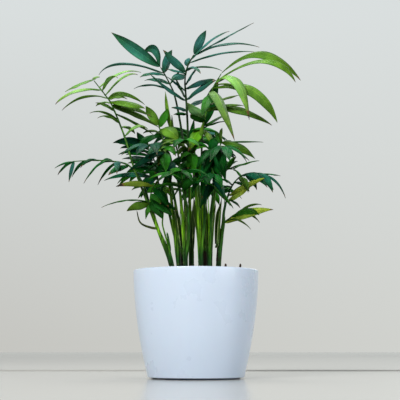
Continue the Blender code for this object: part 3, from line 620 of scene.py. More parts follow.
        fan=Fan(4, 46, 10, 0.45, 12),
    ),
    "back_left": Frond(
        "palm_back_left", 1.0,
        ((-25, 37, 200),),
        ((-30, 46, 220), (-38, 60, 236), (-48, 80, 240)),
        fan=Fan(5, 56, 10, 0.45, 13),
    ),
    "back_left_low": Frond(
        "palm_back_left", 0.8,
        ((-30, 38, 186),),
        ((-33, 46, 200), (-37, 60, 212), (-42, 80, 215)),
        fan=Fan(4, 40, 10, 0.4, 14),
    ),
    "back_right": Frond(
        "palm_back_right", 0.95,
        ((18, 30, 196), (19, 38, 216)),
        ((18, 46, 230), (13, 61, 243), (6, 82, 246)),
        fan=Fan(4, 38, 10, 0.45, 15),
    ),
}

FROND_LOOKS = {
    "top_left": FrondLook(Tone.TEAL, Tone.DEEP, 0.2, 0.03),
    "top": FrondLook(
        Tone.TEAL, Tone.DEEP, 0.25, 0.06, singles={Tone.TEAL: (0, 2, 3, 7), Tone.DEEP: (19,)}
    ),
    "arch_right": FrondLook(
        Tone.FRESH, Tone.OLIVE, 0.2, 0.05,
        singles={Tone.OLIVE: (0, 1, 2, 5, 18), Tone.PALE: (3, 4), Tone.DEEP: (7, 10, 11, 14, 16),
                 Tone.PAINTED_SHEEN_MINT: (9,), Tone.VIVID: (12,), Tone.MID: (17,)},
    ),
    "arch_left": FrondLook(
        Tone.PALE, Tone.OLIVE, 0.5, 0.05, singles={Tone.FRESH: (17,), Tone.OLIVE: (18,)}
    ),
    "level_left": FrondLook(Tone.DEEP, Tone.TEAL, 0.4, 0.08),
    "low_left": FrondLook(
        Tone.OLIVE, Tone.DEEP, 0.5, 0.04,
        singles={Tone.OLIVE: (1,), Tone.YELLOWING: (2,), Tone.DEEP: (3, 6, 7, 8), Tone.FRESH: (9,)},
    ),
    "dry_curl": FrondLook(Tone.HUSK, Tone.HUSK),
    "cut_stump": FrondLook(Tone.DEEP, Tone.HUSK),
    "inner_left": FrondLook(
        Tone.DEEP, Tone.SEA, 0.4, 0.03, singles={Tone.SEA: (0, 17), Tone.MID: (5,), Tone.DEEP: (18,)}
    ),
    "olive": FrondLook(
        Tone.FRESH, Tone.OLIVE, 0.4, 0.03,
        singles={Tone.OLIVE: (0, 2), Tone.MID: (1,), Tone.DEEP: (3, 8), Tone.SEA: (5,)},
    ),
    "spear": FrondLook(Tone.OLIVE, Tone.FRESH, 0.4, 0.02, 0.8),
    "mid_right": FrondLook(
        Tone.MID, Tone.DEEP, 0.5, 0.04,
        singles={Tone.OLIVE: (0,), Tone.DEEP: (1, 6, 7, 9, 12), Tone.MID: (4,), Tone.FRESH: (5,)},
    ),
    "low_right": FrondLook(
        Tone.SEA, Tone.DEEP, 0.4, 0.06,
        singles={Tone.MID: (3,), Tone.PAINTED_LIGHT_LIME: (5, 13), Tone.OLIVE: (6,), Tone.DEEP: (10, 11, 12)},
    ),
    "lowest_right": FrondLook(
        Tone.FRESH, Tone.OLIVE, 0.4, 0.04, singles={Tone.PAINTED_LIGHT_LIME: (0,), Tone.MID: (2,)}
    ),
    "short_right": FrondLook(Tone.DEEP, Tone.MID, 0.3, 0.03),
    "forward_left": FrondLook(
        Tone.SEA, Tone.DEEP, 0.3, 0.03,
        singles={Tone.SEA: (0,), Tone.DEEP: (1, 7, 11), Tone.MID: (2, 8)},
    ),
    "forward_right": FrondLook(
        Tone.DEEP, Tone.SEA, 0.35, 0.03, singles={Tone.DEEP: (3, 5, 7, 11, 16), Tone.TEAL: (9, 15)}
    ),
    "centre": FrondLook(
        Tone.DEEP, Tone.MID, 0.4, 0.03,
        singles={Tone.OLIVE: (0,), Tone.FRESH: (5, 12, 16), Tone.MID: (6, 8, 17), Tone.DEEP: (11, 18)},
    ),
    "forward_low": FrondLook(Tone.DEEP, Tone.MID, 0.4, 0.03),
    "forward_side": FrondLook(Tone.DEEP, Tone.SEA, 0.4, 0.03, singles={Tone.MID: (0,)}),
    "back_high": FrondLook(Tone.MID, Tone.TEAL, 0.4, 0.04),
    "back_low": FrondLook(Tone.DEEP, Tone.MID, 0.4, 0.03),
    "back_left": FrondLook(Tone.DEEP, Tone.MID, 0.5, 0.03),
    "back_left_low": FrondLook(Tone.OLIVE, Tone.MID, 0.4, 0.04),
    "back_right": FrondLook(Tone.MID, Tone.DEEP, 0.4, 0.03),
}

# Leaflets that only the finer model has, most of them to close the crown's middle.
INNER_LEAFLETS = {
    "top": (Leaflet(0.06, (-24, -10, 277), 2, 10),),
    "arch_right": (
        Leaflet(0.12, (-6, -34, 272), 2, 12),
        Leaflet(0.02, (-4, -30, 256), 1, 11),
        Leaflet(0.3, (50, -30, 282), 4, 8, 30),
    ),
    "arch_left": (
        Leaflet(0.62, (-72, -26, 290), 4, 8, 30),
        Leaflet(0.52, (-46, -30, 270), 5, 9, 40),
    ),
    "low_right": (
        Leaflet(0.35, (24, -18, 206), 3, 8, 30),
        Leaflet(0.25, (24, -20, 189), 3, 8, 20),
        Leaflet(0.0, (56, -26, 196), 1, 8, 60),
    ),
    "centre": (
        Leaflet(0.3, (-2, -12, 272), 0, 9, 60),
        Leaflet(0.5, (-24, -46, 239), 4, 9, 30),
        Leaflet(0.2, (-8, -50, 212), 5, 11),
        Leaflet(0.1, (5, -46, 199), 5, 11),
        Leaflet(0.15, (-22, -46, 208), 5, 11),
        Leaflet(0.4, (8, -28, 266), 0, 10, 50),
        Leaflet(0.5, (10, -40, 236), 3, 9, 30),
        Leaflet(0.5, (-24, -30, 230), 4, 10, 20),
    ),
    "forward_left": (
        Leaflet(0.15, (-28, -52, 200), 6, 11),
        Leaflet(0.08, (-16, -48, 196), 5, 11),
        Leaflet(0.35, (-48, -52, 222), 5, 10, 20),
    ),
    "forward_right": (
        Leaflet(0.15, (27, -54, 199), 6, 11),
        Leaflet(0.25, (9, -62, 205), 6, 11),
        Leaflet(0.1, (30, -36, 212), 4, 10, 20),
        Leaflet(0.22, (40, -46, 224), 5, 12, 30),
        Leaflet(0.3, (18, -34, 247), 3, 11, 40),
    ),
    "low_left": (
        Leaflet(0.3, (-24, -26, 166), 3, 11, 40),
        Leaflet(0.15, (-34, -24, 163), 3, 11, 30),
        Leaflet(0.4, (-20, -24, 172), 3, 9, 40),
        Leaflet(0.0, (-71, -20, 173), 3, 9, 50),
        Leaflet(0.5, (-36, -32, 178), 4, 10, 20),
    ),
    "inner_left": (
        Leaflet(0.45, (-72, -14, 224), 3, 9, 30),
        Leaflet(0.35, (-66, -22, 216), 3, 9, 30),
        Leaflet(0.35, (-48, -30, 214), 4, 10, 20),
        Leaflet(0.55, (-34, -26, 222), 4, 10, 30),
        Leaflet(0.15, (-58, -16, 200), 4, 8, 30),
        Leaflet(0.95, (-80, -14, 240), 3, 9, 40),
        Leaflet(0.7, (-74, -14, 233), 3, 8, 30),
    ),
    "mid_right": (
        Leaflet(0.05, (30, -34, 206), 4, 10, 10),
        Leaflet(0.2, (10, -30, 210), 4, 10, 20),
        Leaflet(0.5, (4, -26, 244), 3, 8, 30),
    ),
}


def catmull_rom(before: Vector, start: Vector, end: Vector, after: Vector, share: float) -> Vector:
    """Finds a point on the smooth curve from start to end.

    Args:
        before: The point before start.
        start: Where this span begins.
        end: Where this span ends.
        after: The point after end.
        share: How far along the span, from 0 to 1.

    Returns:
        The point.
    """
    squared = share * share
    cubed = squared * share
    return 0.5 * (
        2 * start
        + (end - before) * share
        + (2 * before - 5 * start + 4 * end - after) * squared
        + (3 * start - before - 3 * end + after) * cubed
    )


def smooth_spans(points: Sequence[Vector]) -> list[list[Vector]]:
    """Draws one smooth curve through all the points.

    Args:
        points: The points it passes through.

    Returns:
        For each span between two of them, the curve's close-set points.
    """
    ends = [2 * points[0] - points[1], *points, 2 * points[-1] - points[-2]]
    return [
        [catmull_rom(*ends[i:i + 4], step / CURVE_STEPS) for step in range(CURVE_STEPS + 1)]
        for i in range(len(points) - 1)
    ]


def joined(spans: Iterable[Sequence[Vector]]) -> list[Vector]:
    """All the points of a line's spans, in one list."""
    return [point for span in spans for point in span]


def spaced(points: Sequence[Vector], pieces: int) -> list[Vector]:
    """Cuts the line through the points into pieces of equal length.

    Args:
        points: The line.
        pieces: How many pieces.

    Returns:
        The ends of the pieces, one more than there are pieces.
    """
    lengths = [0.0]
    for start, end in zip(points, points[1:]):
        lengths.append(lengths[-1] + (end - start).length)
    made, span = [], 0
    for piece in range(pieces + 1):
        wanted = lengths[-1] * piece / pieces
        while span < len(points) - 2 and lengths[span + 1] < wanted:
            span += 1
        share = (wanted - lengths[span]) / max(lengths[span + 1] - lengths[span], 1e-9)
        made.append(points[span].lerp(points[span + 1], share))
    return made


def line_length(points: Sequence[Vector]) -> float:
    """The length of the line through the points."""
    return sum((end - start).length for start, end in zip(points, points[1:]))


def along(points: Sequence[Vector], share: float) -> tuple[Vector, Vector]:
    """Finds a place on an evenly spaced line.

    Args:
        points: The line.
        share: How far along it, from 0 to 1.

    Returns:
        The point there and the line's direction there.
    """
    place = min(max(share, 0.0), 1.0) * (len(points) - 1)
    span = min(int(place), len(points) - 2)
    direction = (points[span + 1] - points[span]).normalized()
    return points[span].lerp(points[span + 1], place - span), direction


def smooth_step(low: float, high: float, value: float) -> float:
    """A soft step from 0 at low to 1 at high."""
    share = min(max((value - low) / (high - low), 0.0), 1.0)
    return share * share * (3 - 2 * share)


def nearness(place: float, marks: Iterable[float], width: float) -> float:
    """How near a place is to the nearest mark: 1 on it, and fading to 0 within about that width."""
    return max((math.exp(-(((place - mark) / width) ** 2)) for mark in marks), default=0.0)


def mixed(first: Sequence[float], second: Sequence[float], share: float) -> Colour:
    """The colour that share of the way from the first to the second."""
    return tuple(a + (b - a) * share for a, b in zip(first, second))


def brightened(colour: Sequence[float], factor: float) -> Colour:
    """The colour, that many times as bright."""
    return tuple(channel * factor for channel in colour)


def cane_curve(palm: Palm) -> list[Vector]:
    """The cane's smooth middle line: straight up out of the soil, then leaning to its top."""
    foot = Vector((*palm.foot, SOIL_TOP - CANE_DEPTH))
    top = Vector(palm.top)
    collar = foot.lerp(top, COLLAR_HEIGHT)
    collar.xy = foot.xy.lerp(top.xy, COLLAR_LEAN)
    return joined(smooth_spans([foot, collar, top]))


@dataclass(frozen=True)
class StalkLines:
    """A stalk's bare and leafy stretches: the solids' own straight pieces, and the smooth lines."""

    coarse_rachis: list[Vector]
    petiole: list[Vector]
    rachis: list[Vector]


def stalk_lines(stalk: Frond, step: float) -> StalkLines:
    """Finds a frond's petiole and rachis.

    Args:
        stalk: The frond.
        step: The length of the smooth lines' pieces, in millimetres.

    Returns:
        Its lines, which meet.
    """
    start, _ = along(spaced(cane_curve(PALMS[stalk.palm]), CANE_PIECES), stalk.leave)
    given = [start, *(Vector(point) for point in stalk.petiole + stalk.rachis)]
    spans = smooth_spans(given)
    split = 1 + len(stalk.petiole)
    petiole, rachis = joined(spans[:split]), joined(spans[split:])
    return StalkLines(
        spaced(rachis, RACHIS_PIECES),
        spaced(petiole, max(2, round(line_length(petiole) / step))),
        spaced(rachis, max(4, round(line_length(rachis) / step))),
    )


def fan_leaflets(fan: Fan, rachis: Sequence[Vector]) -> list[Leaflet]:
    """Places leaflets in pairs, wide apart at the rachis's base and swept forward at its tip.

    Args:
        fan: The rule's numbers.
        rachis: The leafy stalk's line.

    Returns:
        The leaflets.
    """
    chance = random.Random(fan.seed)
    made = []
    for pair in range(fan.pairs):
        for side in (-1, 1):
            share, spread = 1.0, FAN_LAST_SPREAD
            if pair < fan.pairs - 1:
                share = min((pair + FAN_FIRST + FAN_STAGGER * side) / (fan.pairs - 1), 1.0)
                spread = FAN_BASE_SPREAD + (FAN_TIP_SPREAD - FAN_BASE_SPREAD) * share
                spread += chance.uniform(-FAN_SPREAD_CHANCE, FAN_SPREAD_CHANCE)
            root, ahead = along(rachis, share)
            across = ahead.cross(UP).normalized() * side
            bulge = math.sin(math.pi * share)
            length = fan.length * (FAN_END_LENGTH + (1 - FAN_END_LENGTH) * bulge)
            length *= chance.uniform(*FAN_LENGTH_CHANCE)
            angle = math.radians(spread)
            heading = ahead * math.cos(angle) + across * math.sin(angle)
            tip = root + heading * length - UP * length * fan.droop * chance.uniform(*FAN_DROOP_CHANCE)
            made.append(
                Leaflet(share, tuple(tip), FAN_RISE * length, fan.width, side * FAN_ROLL, FAN_LEAN)
            )
    return made


def turned(reach: Vector, turn: tuple[float, float]) -> Vector:
    """Turns a leaflet's way from root to tip.

    Args:
        reach: The way from its root to its tip.
        turn: The degrees round the z axis, and the degrees up.

    Returns:
        The turned way.
    """
    spin, lift = (math.radians(angle) for angle in turn)
    flat = Matrix.Rotation(spin, 3, "Z") @ reach
    return Matrix.Rotation(lift, 3, flat.cross(UP).normalized()) @ flat


class Blade:
    """A leaflet's own line and cross-sections, as in its solid."""

    def __init__(self, leaflet: Leaflet, lines: StalkLines, turn: tuple[float, float]) -> None:
        """Places the leaflet.

        Args:
            leaflet: What it is.
            lines: The stalk that carries it.
            turn: The degrees by which it was turned clear of its neighbours.
        """
        self.leaflet = leaflet
        start, _ = along(lines.coarse_rachis, leaflet.at)
        reach = turned(Vector(leaflet.tip) - start, turn)
        self.root, _ = along(lines.rachis, leaflet.at)
        self.bend = start + reach * leaflet.lean + UP * 2 * leaflet.rise
        self.tip = start + reach
        self.length = reach.length
        self.lateness = BLADE_LATENESS

    def frame(self, share: float) -> tuple[Vector, Vector, Vector, Vector]:
        """Finds a place on the middle line.

        Args:
            share: How far along it, from 0 at the root to 1 at the tip.

        Returns:
            The point there, and the directions ahead, across and out of the upper face.
        """
        rest = 1 - share
        point = self.root * rest * rest + self.bend * 2 * share * rest + self.tip * share * share
        ahead = ((self.bend - self.root) * rest + (self.tip - self.bend) * share).normalized()
        across = ahead.cross(UP).normalized()
        roll = math.radians(self.leaflet.roll if across.y <= 0 else -self.leaflet.roll)
        across.rotate(Matrix.Rotation(roll, 3, ahead))
        return point, ahead, across, across.cross(ahead)


def frond_blades(name: str, lines: StalkLines, tips: KDTree) -> list[tuple[int, Blade]]:
    """Gives each leaflet of a frond the turn that its solid has.

    The solid's leaflet was turned until it was clear of the other palms. The turn that puts the tip
    on a corner of the solid is that one, and a leaflet whose tip is on none was left out there.

    Args:
        name: The frond's name.
        lines: Its stalk.
        tips: The corners of the palm's solid, in metres.

    Returns:
        Each leaflet's number in the frond, and its blade.
    """
    stalk = FRONDS[name]
    inner = [Blade(leaflet, lines, TURNS[0]) for leaflet in INNER_LEAFLETS.get(name, ())]
    wanted = list(stalk.leaflets)
    if stalk.fan:
        wanted += fan_leaflets(stalk.fan, lines.coarse_rachis)
    made = []
    for number, leaflet in enumerate(wanted):
        tried = [Blade(leaflet, lines, turn) for turn in TURNS]
        misses = [tips.find(blade.tip * MM)[2] / MM for blade in tried]
        nearest = min(misses)
        if nearest > TIP_REACH:
            LOG.info("left out with its solid: leaflet %d of %s", number, name)
            continue
        blade = tried[misses.index(nearest)]
        blade.lateness = WIDEST_LATE.get((name, number), BLADE_LATENESS)
        made.append((number, blade))
    return made + list(enumerate(inner, len(wanted)))


@dataclass(frozen=True)
class LeafForm:
    """One leaflet's irregularities: its fold, twist in degrees, edge waves, dried tip, colour and
    painted shade.
    """

    fold: float
    twist: float
    wave: float
    waves: float
    phase: float
    dryness: float
    # How much painted light one half gets and painted shade the other.
    shade: float
    tint: Colour

    @classmethod
    def drawn(cls, look: FrondLook, number: int, chance: random.Random) -> "LeafForm":
        """Draws a leaflet's irregularities.

        Args:
            look: How its frond looks.
            number: The leaflet's number in the frond.
            chance: Where the random numbers come from.

        Returns:
            The irregularities.
        """
        takes_second = chance.random() < look.second_share
        tone = look.tone_of(number, takes_second)
        other = look.tone if takes_second else look.second
        tint = mixed(tone.value, other.value, chance.uniform(*LEAF_TONE_MIX))
        withered = WITHERED if tone is Tone.YELLOWING else 0.0
        return cls(
            fold=look.fold * chance.uniform(*LEAF_FOLDS),
            twist=chance.uniform(*LEAF_TWISTS),
            wave=chance.uniform(*LEAF_WAVES),
            waves=chance.uniform(*LEAF_WAVE_COUNTS),
            phase=chance.uniform(0, 1),
            dryness=max(look.dryness * chance.uniform(*LEAF_DRYNESS), withered),
            # One half of the leaflet gets painted light and the other painted shade.
            shade=chance.choice((-1, 1)) * chance.uniform(*LEAF_SHADES),
            tint=brightened(tint, chance.uniform(*LEAF_BRIGHTNESS)),
        )


def blade_width_share(share: float, lateness: float) -> float:
    """Finds the width of a leaflet along its length, with a drawn-out tip.

    Args:
        share: How far along it.
        lateness: How near its tip it is widest.

    Returns:
        The width as a share of its widest.
    """
    if not 0 < share < 1:
        return 0.0
    lance = math.sin(math.pi * share ** lateness) ** BLADE_FULLNESS
    return lance * (1 - TIP_THINNING * smooth_step(TIP_THINNING_START, 1.0, share))


def steady_frames(points: Sequence[Vector]) -> list[tuple[Vector, Vector]]:
    """Finds two directions across a line at each of its points, without sudden turns.

    Args:
        points: The line.

    Returns:
        For each point, two directions at right angles to the line and to each other.
    """
    made = []
    side = Vector((1, 0, 0))
    for i in range(len(points)):
        before, after = points[max(i - 1, 0)], points[min(i + 1, len(points) - 1)]
        ahead = (after - before).normalized()
        side = (side - ahead * side.dot(ahead)).normalized()
        made.append((side, ahead.cross(side)))
    return made


class Sculpt:
    """A piece's mesh in the making, in millimetres, with the values that its finishes read."""

    def __init__(self) -> None:
        """Starts an empty mesh."""
        self.mesh = bmesh.new()
        layers = self.mesh.verts.layers
        self.along = layers.float.new("along")
        self.across = layers.float.new("across")
        self.dry = layers.float.new("dry")
        self.tint = layers.float_color.new("tint")

    def paint(
        self, vertex: bmesh.types.BMVert, tint: Colour, share: float, side: float, dry: float
    ) -> None:
        """Stores what a finish reads at a vertex.

        Args:
            vertex: The vertex.
            tint: Its colour.
            share: How far it is along its leaflet or stem.
            side: How far it is across, from -1 to 1.
            dry: The share of the length that has dried at the tip.
        """
        vertex[self.tint] = (*tint, 1.0)
        vertex[self.along] = share
        vertex[self.across] = side
        vertex[self.dry] = dry

    def grid(self, columns: int, rows: int) -> list[tuple[bmesh.types.BMVert, float, int]]:
        """Makes a flat grid that is still to be shaped.

        Args:
            columns: How many faces it is wide.
            rows: How many faces it is long.

        Returns:
            Each vertex, how far it is across, from -1 to 1, and its row.
        """
        made = bmesh.ops.create_grid(self.mesh, x_segments=columns, y_segments=rows, size=1.0)
        return [(vertex, vertex.co.x, round((vertex.co.y + 1) / 2 * rows)) for vertex in made["verts"]]

    def thicken(
        self, verts: Iterable[bmesh.types.BMVert], thickness: float
    ) -> list[bmesh.types.BMFace]:
        """Gives a sheet its thickness.

        Args:
            verts: The sheet's vertices.
            thickness: How thick it gets.

        Returns:
            The faces of both sides and of the edge.
        """
        faces = list(dict.fromkeys(face for vertex in verts for face in vertex.link_faces))
        made = bmesh.ops.solidify(self.mesh, geom=faces, thickness=thickness)
        return [*faces, *(item for item in made["geom"] if isinstance(item, bmesh.types.BMFace))]

    def tube(
        self,
        points: Sequence[Vector],
        radii: Sequence[float],
        tints: Sequence[Colour],
        sides: int,
        ribs: tuple[int, float],
    ) -> None:
        """Wraps a grid round a line. A radius of 0 at an end closes it.

        Args:
            points: The line.
            radii: The radius at each point.
            tints: The colour at each point.
            sides: How many sides the tube has.
            ribs: How many ribs run along it, and their depth as a share of the radius.
        """
        rows = len(points) - 1
        grid = self.grid(sides, rows)
        frames = steady_frames(points)
        for vertex, place_across, row in grid:
            angle = math.pi * (place_across + 1)
            side, out = frames[row]
            radius = radii[row] * (1 + ribs[1] * math.cos(ribs[0] * angle))
            vertex.co = points[row] + (side * math.cos(angle) + out * math.sin(angle)) * radius
            self.paint(vertex, tints[row], row / rows, math.sin(angle), 0.0)
        bmesh.ops.remove_doubles(self.mesh, verts=[vertex for vertex, _, _ in grid], dist=MERGE)

    def leaf(self, blade: Blade, form: LeafForm) -> None:
        """Shapes a grid into a pleated, folded leaflet and gives it its thickness.

        Args:
            blade: Where the leaflet is.
            form: Its irregularities.
        """
        rows = min(max(round(blade.length / LEAF_ROW_LENGTH), LEAF_ROWS[0]), LEAF_ROWS[1])
        grid = self.grid(LEAF_COLUMNS, rows)
        sections = [self.section(blade, form, row / rows) for row in range(rows + 1)]
        for vertex, side, row in grid:
            share = row / rows
            point, across, out, half_width, fold = sections[row]
            swing = math.sin(math.tau * (form.waves * share + form.phase + WAVE_SKEW * side))
            height = -fold * half_width * abs(side)
            height += form.wave * swing * side * side * math.sin(math.pi * share)
            pleat = LEAF_PLEAT_DEPTH * min(1.0, (half_width / LEAF_PLEAT_WIDTH) ** 2)
            height += pleat * math.cos(LEAF_PLEATS * math.pi * side) + LEAF_THICKNESS / 2
            vertex.co = point + across * half_width * side + out * height
            # Painted light lifts one half of the leaflet and painted shade darkens the other.
            self.paint(vertex, brightened(form.tint, 1 + form.shade * side), share, side, form.dryness)
        tip = [vertex for vertex, _, row in grid if row == rows]
        others = [vertex for vertex, _, row in grid if row < rows]
        bmesh.ops.pointmerge(self.mesh, verts=tip, merge_co=blade.tip)
        for face in self.thicken(others, LEAF_THICKNESS):
            share = sum(v[self.along] for v in face.verts) / len(face.verts)
            face.normal_update()
            _, _, out, _, _ = sections[min(round(share * rows), rows)]
            face.material_index = 0 if face.normal.dot(out) > 0 else 1

    @staticmethod
    def section(
        blade: Blade, form: LeafForm, share: float
    ) -> tuple[Vector, Vector, Vector, float, float]:
        """Finds a leaflet's cross-section.

        Args:
            blade: Where the leaflet is.
            form: Its irregularities.
            share: How far along it.

        Returns:
            The middle point, the directions across and out, half the width, and the fold.
        """
        point, ahead, across, out = blade.frame(share)
        turn = math.radians(form.twist) * (share - TWIST_START) * math.sin(math.pi * share)
        twist = Matrix.Rotation(turn, 3, ahead)
        half_width = (
            BLADE_ROOT_HALF_WIDTH * (1 - share)
            + 0.5 * LEAF_BREADTH * blade.leaflet.width * blade_width_share(share, blade.lateness)
        )
        fold = form.fold + (ROOT_FOLD - form.fold) * (1 - smooth_step(0.0, ROOT_FOLD_REACH, share))
        return point, twist @ across, twist @ out, half_width, fold

    def finished(self, name: str, finishes: Iterable[bpy.types.Material]) -> bpy.types.Object:
        """Turns the mesh into a piece in metres.

        Args:
            name: The piece's name.
            finishes: Its materials, in the order of its faces' material numbers.

        Returns:
            The piece, at the origin.
        """
        for face in self.mesh.faces:
            face.smooth = True
        for edge in self.mesh.edges:
            edge.smooth = edge.calc_face_angle(0.0) < SHARP_EDGE
        bmesh.ops.scale(self.mesh, vec=(MM, MM, MM), verts=self.mesh.verts[:])
        data = bpy.data.meshes.new(name)
        self.mesh.to_mesh(data)
        self.mesh.free()
        for finish in finishes:
            data.materials.append(finish)
        piece = bpy.data.objects.new(name, data)
        bpy.context.scene.collection.objects.link(piece)
        LOG.info("%s: %d faces", name, len(data.polygons))
        return piece


def place(piece: bpy.types.Object, node: str, slot: Slot) -> None:
    """Lets a piece stand for a node of the solid model and ride on its one body.

    Args:
        piece: The piece.
        node: The node's name.
        slot: Not used; the material slot that it would take its finish from.
    """
    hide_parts(node)
    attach(piece, "root")


class Nodes:
    """A tree of shader nodes in the making."""

    def __init__(self, tree: bpy.types.NodeTree, places: str) -> None:
        """Starts from the tree.

        Args:
            tree: The tree.
            places: The texture coordinates that its patterns read.
        """
        self.tree = tree
        self.places = tree.nodes.new("ShaderNodeTexCoord").outputs[places]

    def feed(self, socket: bpy.types.NodeSocket, value: bpy.types.NodeSocket | float | Colour) -> None:
        """Gives a socket a value, or connects it to one.

        Args:
            socket: The socket to be fed.
            value: A number, a colour, or another node's output.
        """
        if isinstance(value, bpy.types.NodeSocket):
            self.tree.links.new(value, socket)
        elif isinstance(value, tuple):
            socket.default_value = (*value, 1.0)
        else:
            socket.default_value = value

    def math(self, operation: str, *values: bpy.types.NodeSocket | float) -> bpy.types.NodeSocket:
        """Works a number out.

        Args:
            operation: The Math node's operation.
            values: What it works on.

        Returns:
            The result.
        """
        node = self.tree.nodes.new("ShaderNodeMath")
        node.operation = operation
        for socket, value in zip(node.inputs, values):
            self.feed(socket, value)
        return node.outputs[0]

    def step(
        self,
        value: bpy.types.NodeSocket,
        low: float,
        high: float,
        first: float = 0.0,
        last: float = 1.0,
        shape: str = "SMOOTHSTEP",
    ) -> bpy.types.NodeSocket:
        """Makes a step from one number to another.

        Args:
            value: What it reads.
            low: Where the step begins.
            high: Where it ends.
            first: The result before it.
            last: The result after it.
            shape: The Map Range node's interpolation.

        Returns:
            The result.
        """
        node = self.tree.nodes.new("ShaderNodeMapRange")
        node.interpolation_type = shape
        for socket, given in zip(node.inputs, (value, low, high, first, last)):
            self.feed(socket, given)
        return node.outputs[0]

    def blend(
        self,
        share: bpy.types.NodeSocket | float,
        first: bpy.types.NodeSocket | Colour,
        second: bpy.types.NodeSocket | Colour,
        mode: str = "MIX",
    ) -> bpy.types.NodeSocket:
        """Blends two colours.

        Args:
            share: How much of the second.
            first: The first colour.
            second: The second colour.
            mode: The Mix node's blend type.

        Returns:
            The blend.
        """
        node = self.tree.nodes.new("ShaderNodeMix")
        node.data_type = "RGBA"
        node.blend_type = mode
        for index, value in ((0, share), (6, first), (7, second)):
            self.feed(node.inputs[index], value)
        return node.outputs[2]

    def shaded(
        self, ground: bpy.types.NodeSocket, mask: bpy.types.NodeSocket, strength: float, factor: Colour
    ) -> bpy.types.NodeSocket:
        """Darkens, lightens or tints a colour where a mask lets it.

        Args:
            ground: The colour.
            mask: Where, from 0 to 1.
            strength: How much of it shows.
            factor: What the colour is multiplied by.

        Returns:
            The result.
        """
        return self.blend(self.math("MULTIPLY", mask, strength), ground, factor, "MULTIPLY")

    def grain(
        self, scale: float, detail: float = 3.0, stretch: Point = (1.0, 1.0, 1.0)
    ) -> bpy.types.NodeSocket:
        """Makes a cloudy pattern that is fixed to the piece.

        Args:
            scale: How fine it is, per metre.
            detail: How many finer layers it has.
            stretch: How much finer it is along x, y and z.

        Returns:
            A number round 0.5.
        """
        mapping = self.tree.nodes.new("ShaderNodeMapping")
        mapping.inputs["Scale"].default_value = stretch
        self.tree.links.new(self.places, mapping.inputs["Vector"])
        node = self.tree.nodes.new("ShaderNodeTexNoise")
        node.inputs["Scale"].default_value = scale
        node.inputs["Detail"].default_value = detail
        self.tree.links.new(mapping.outputs["Vector"], node.inputs["Vector"])
        return node.outputs["Fac"]

    def place_along(self, axis: str) -> bpy.types.NodeSocket:
        """How far along the x, y or z axis a spot is, in metres."""
        node = self.tree.nodes.new("ShaderNodeSeparateXYZ")
        self.tree.links.new(self.places, node.inputs[0])
        return node.outputs[axis]


class Recipe(Nodes):
    """A material's nodes in the making."""

    def __init__(self, name: str) -> None:
        """Starts from a plain Principled surface.

        Args:
            name: The material's name.
        """
        self.material = bpy.data.materials.new(name)
        self.material.use_nodes = True
        super().__init__(self.material.node_tree, "Object")
        self.surface = self.tree.nodes["Principled BSDF"]

    def settle(self, **values: float | Sequence[float]) -> None:
        """Sets the surface's own sockets, named with _ for a space."""
        for name, value in values.items():
            self.surface.inputs[name.replace("_", " ")].default_value = value

    def wire(self, source: bpy.types.NodeSocket, name: str) -> None:
        """Connects a value to one of the surface's sockets."""
        self.tree.links.new(source, self.surface.inputs[name])

    def stored(self, name: str, output: str = "Fac") -> bpy.types.NodeSocket:
        """What the piece's mesh stores under that name: a number, or a colour as output Color."""
        node = self.tree.nodes.new("ShaderNodeAttribute")
        node.attribute_name = name
        return node.outputs[output]

    def tint(self) -> bpy.types.NodeSocket:
        """The colour that the piece's mesh stores."""
        return self.stored("tint", "Color")

    def bump(self, height: bpy.types.NodeSocket, depth: float, strength: float = 1.0) -> None:
        """Raises the surface by a pattern.

        Args:
            height: The pattern, round 0 to 1.
            depth: How far 1 stands above 0, in metres.
            strength: How much of it shows.
        """
        node = self.tree.nodes.new("ShaderNodeBump")
        node.inputs["Distance"].default_value = depth
        node.inputs["Strength"].default_value = strength
        self.tree.links.new(height, node.inputs["Height"])
        self.wire(node.outputs["Normal"], "Normal")


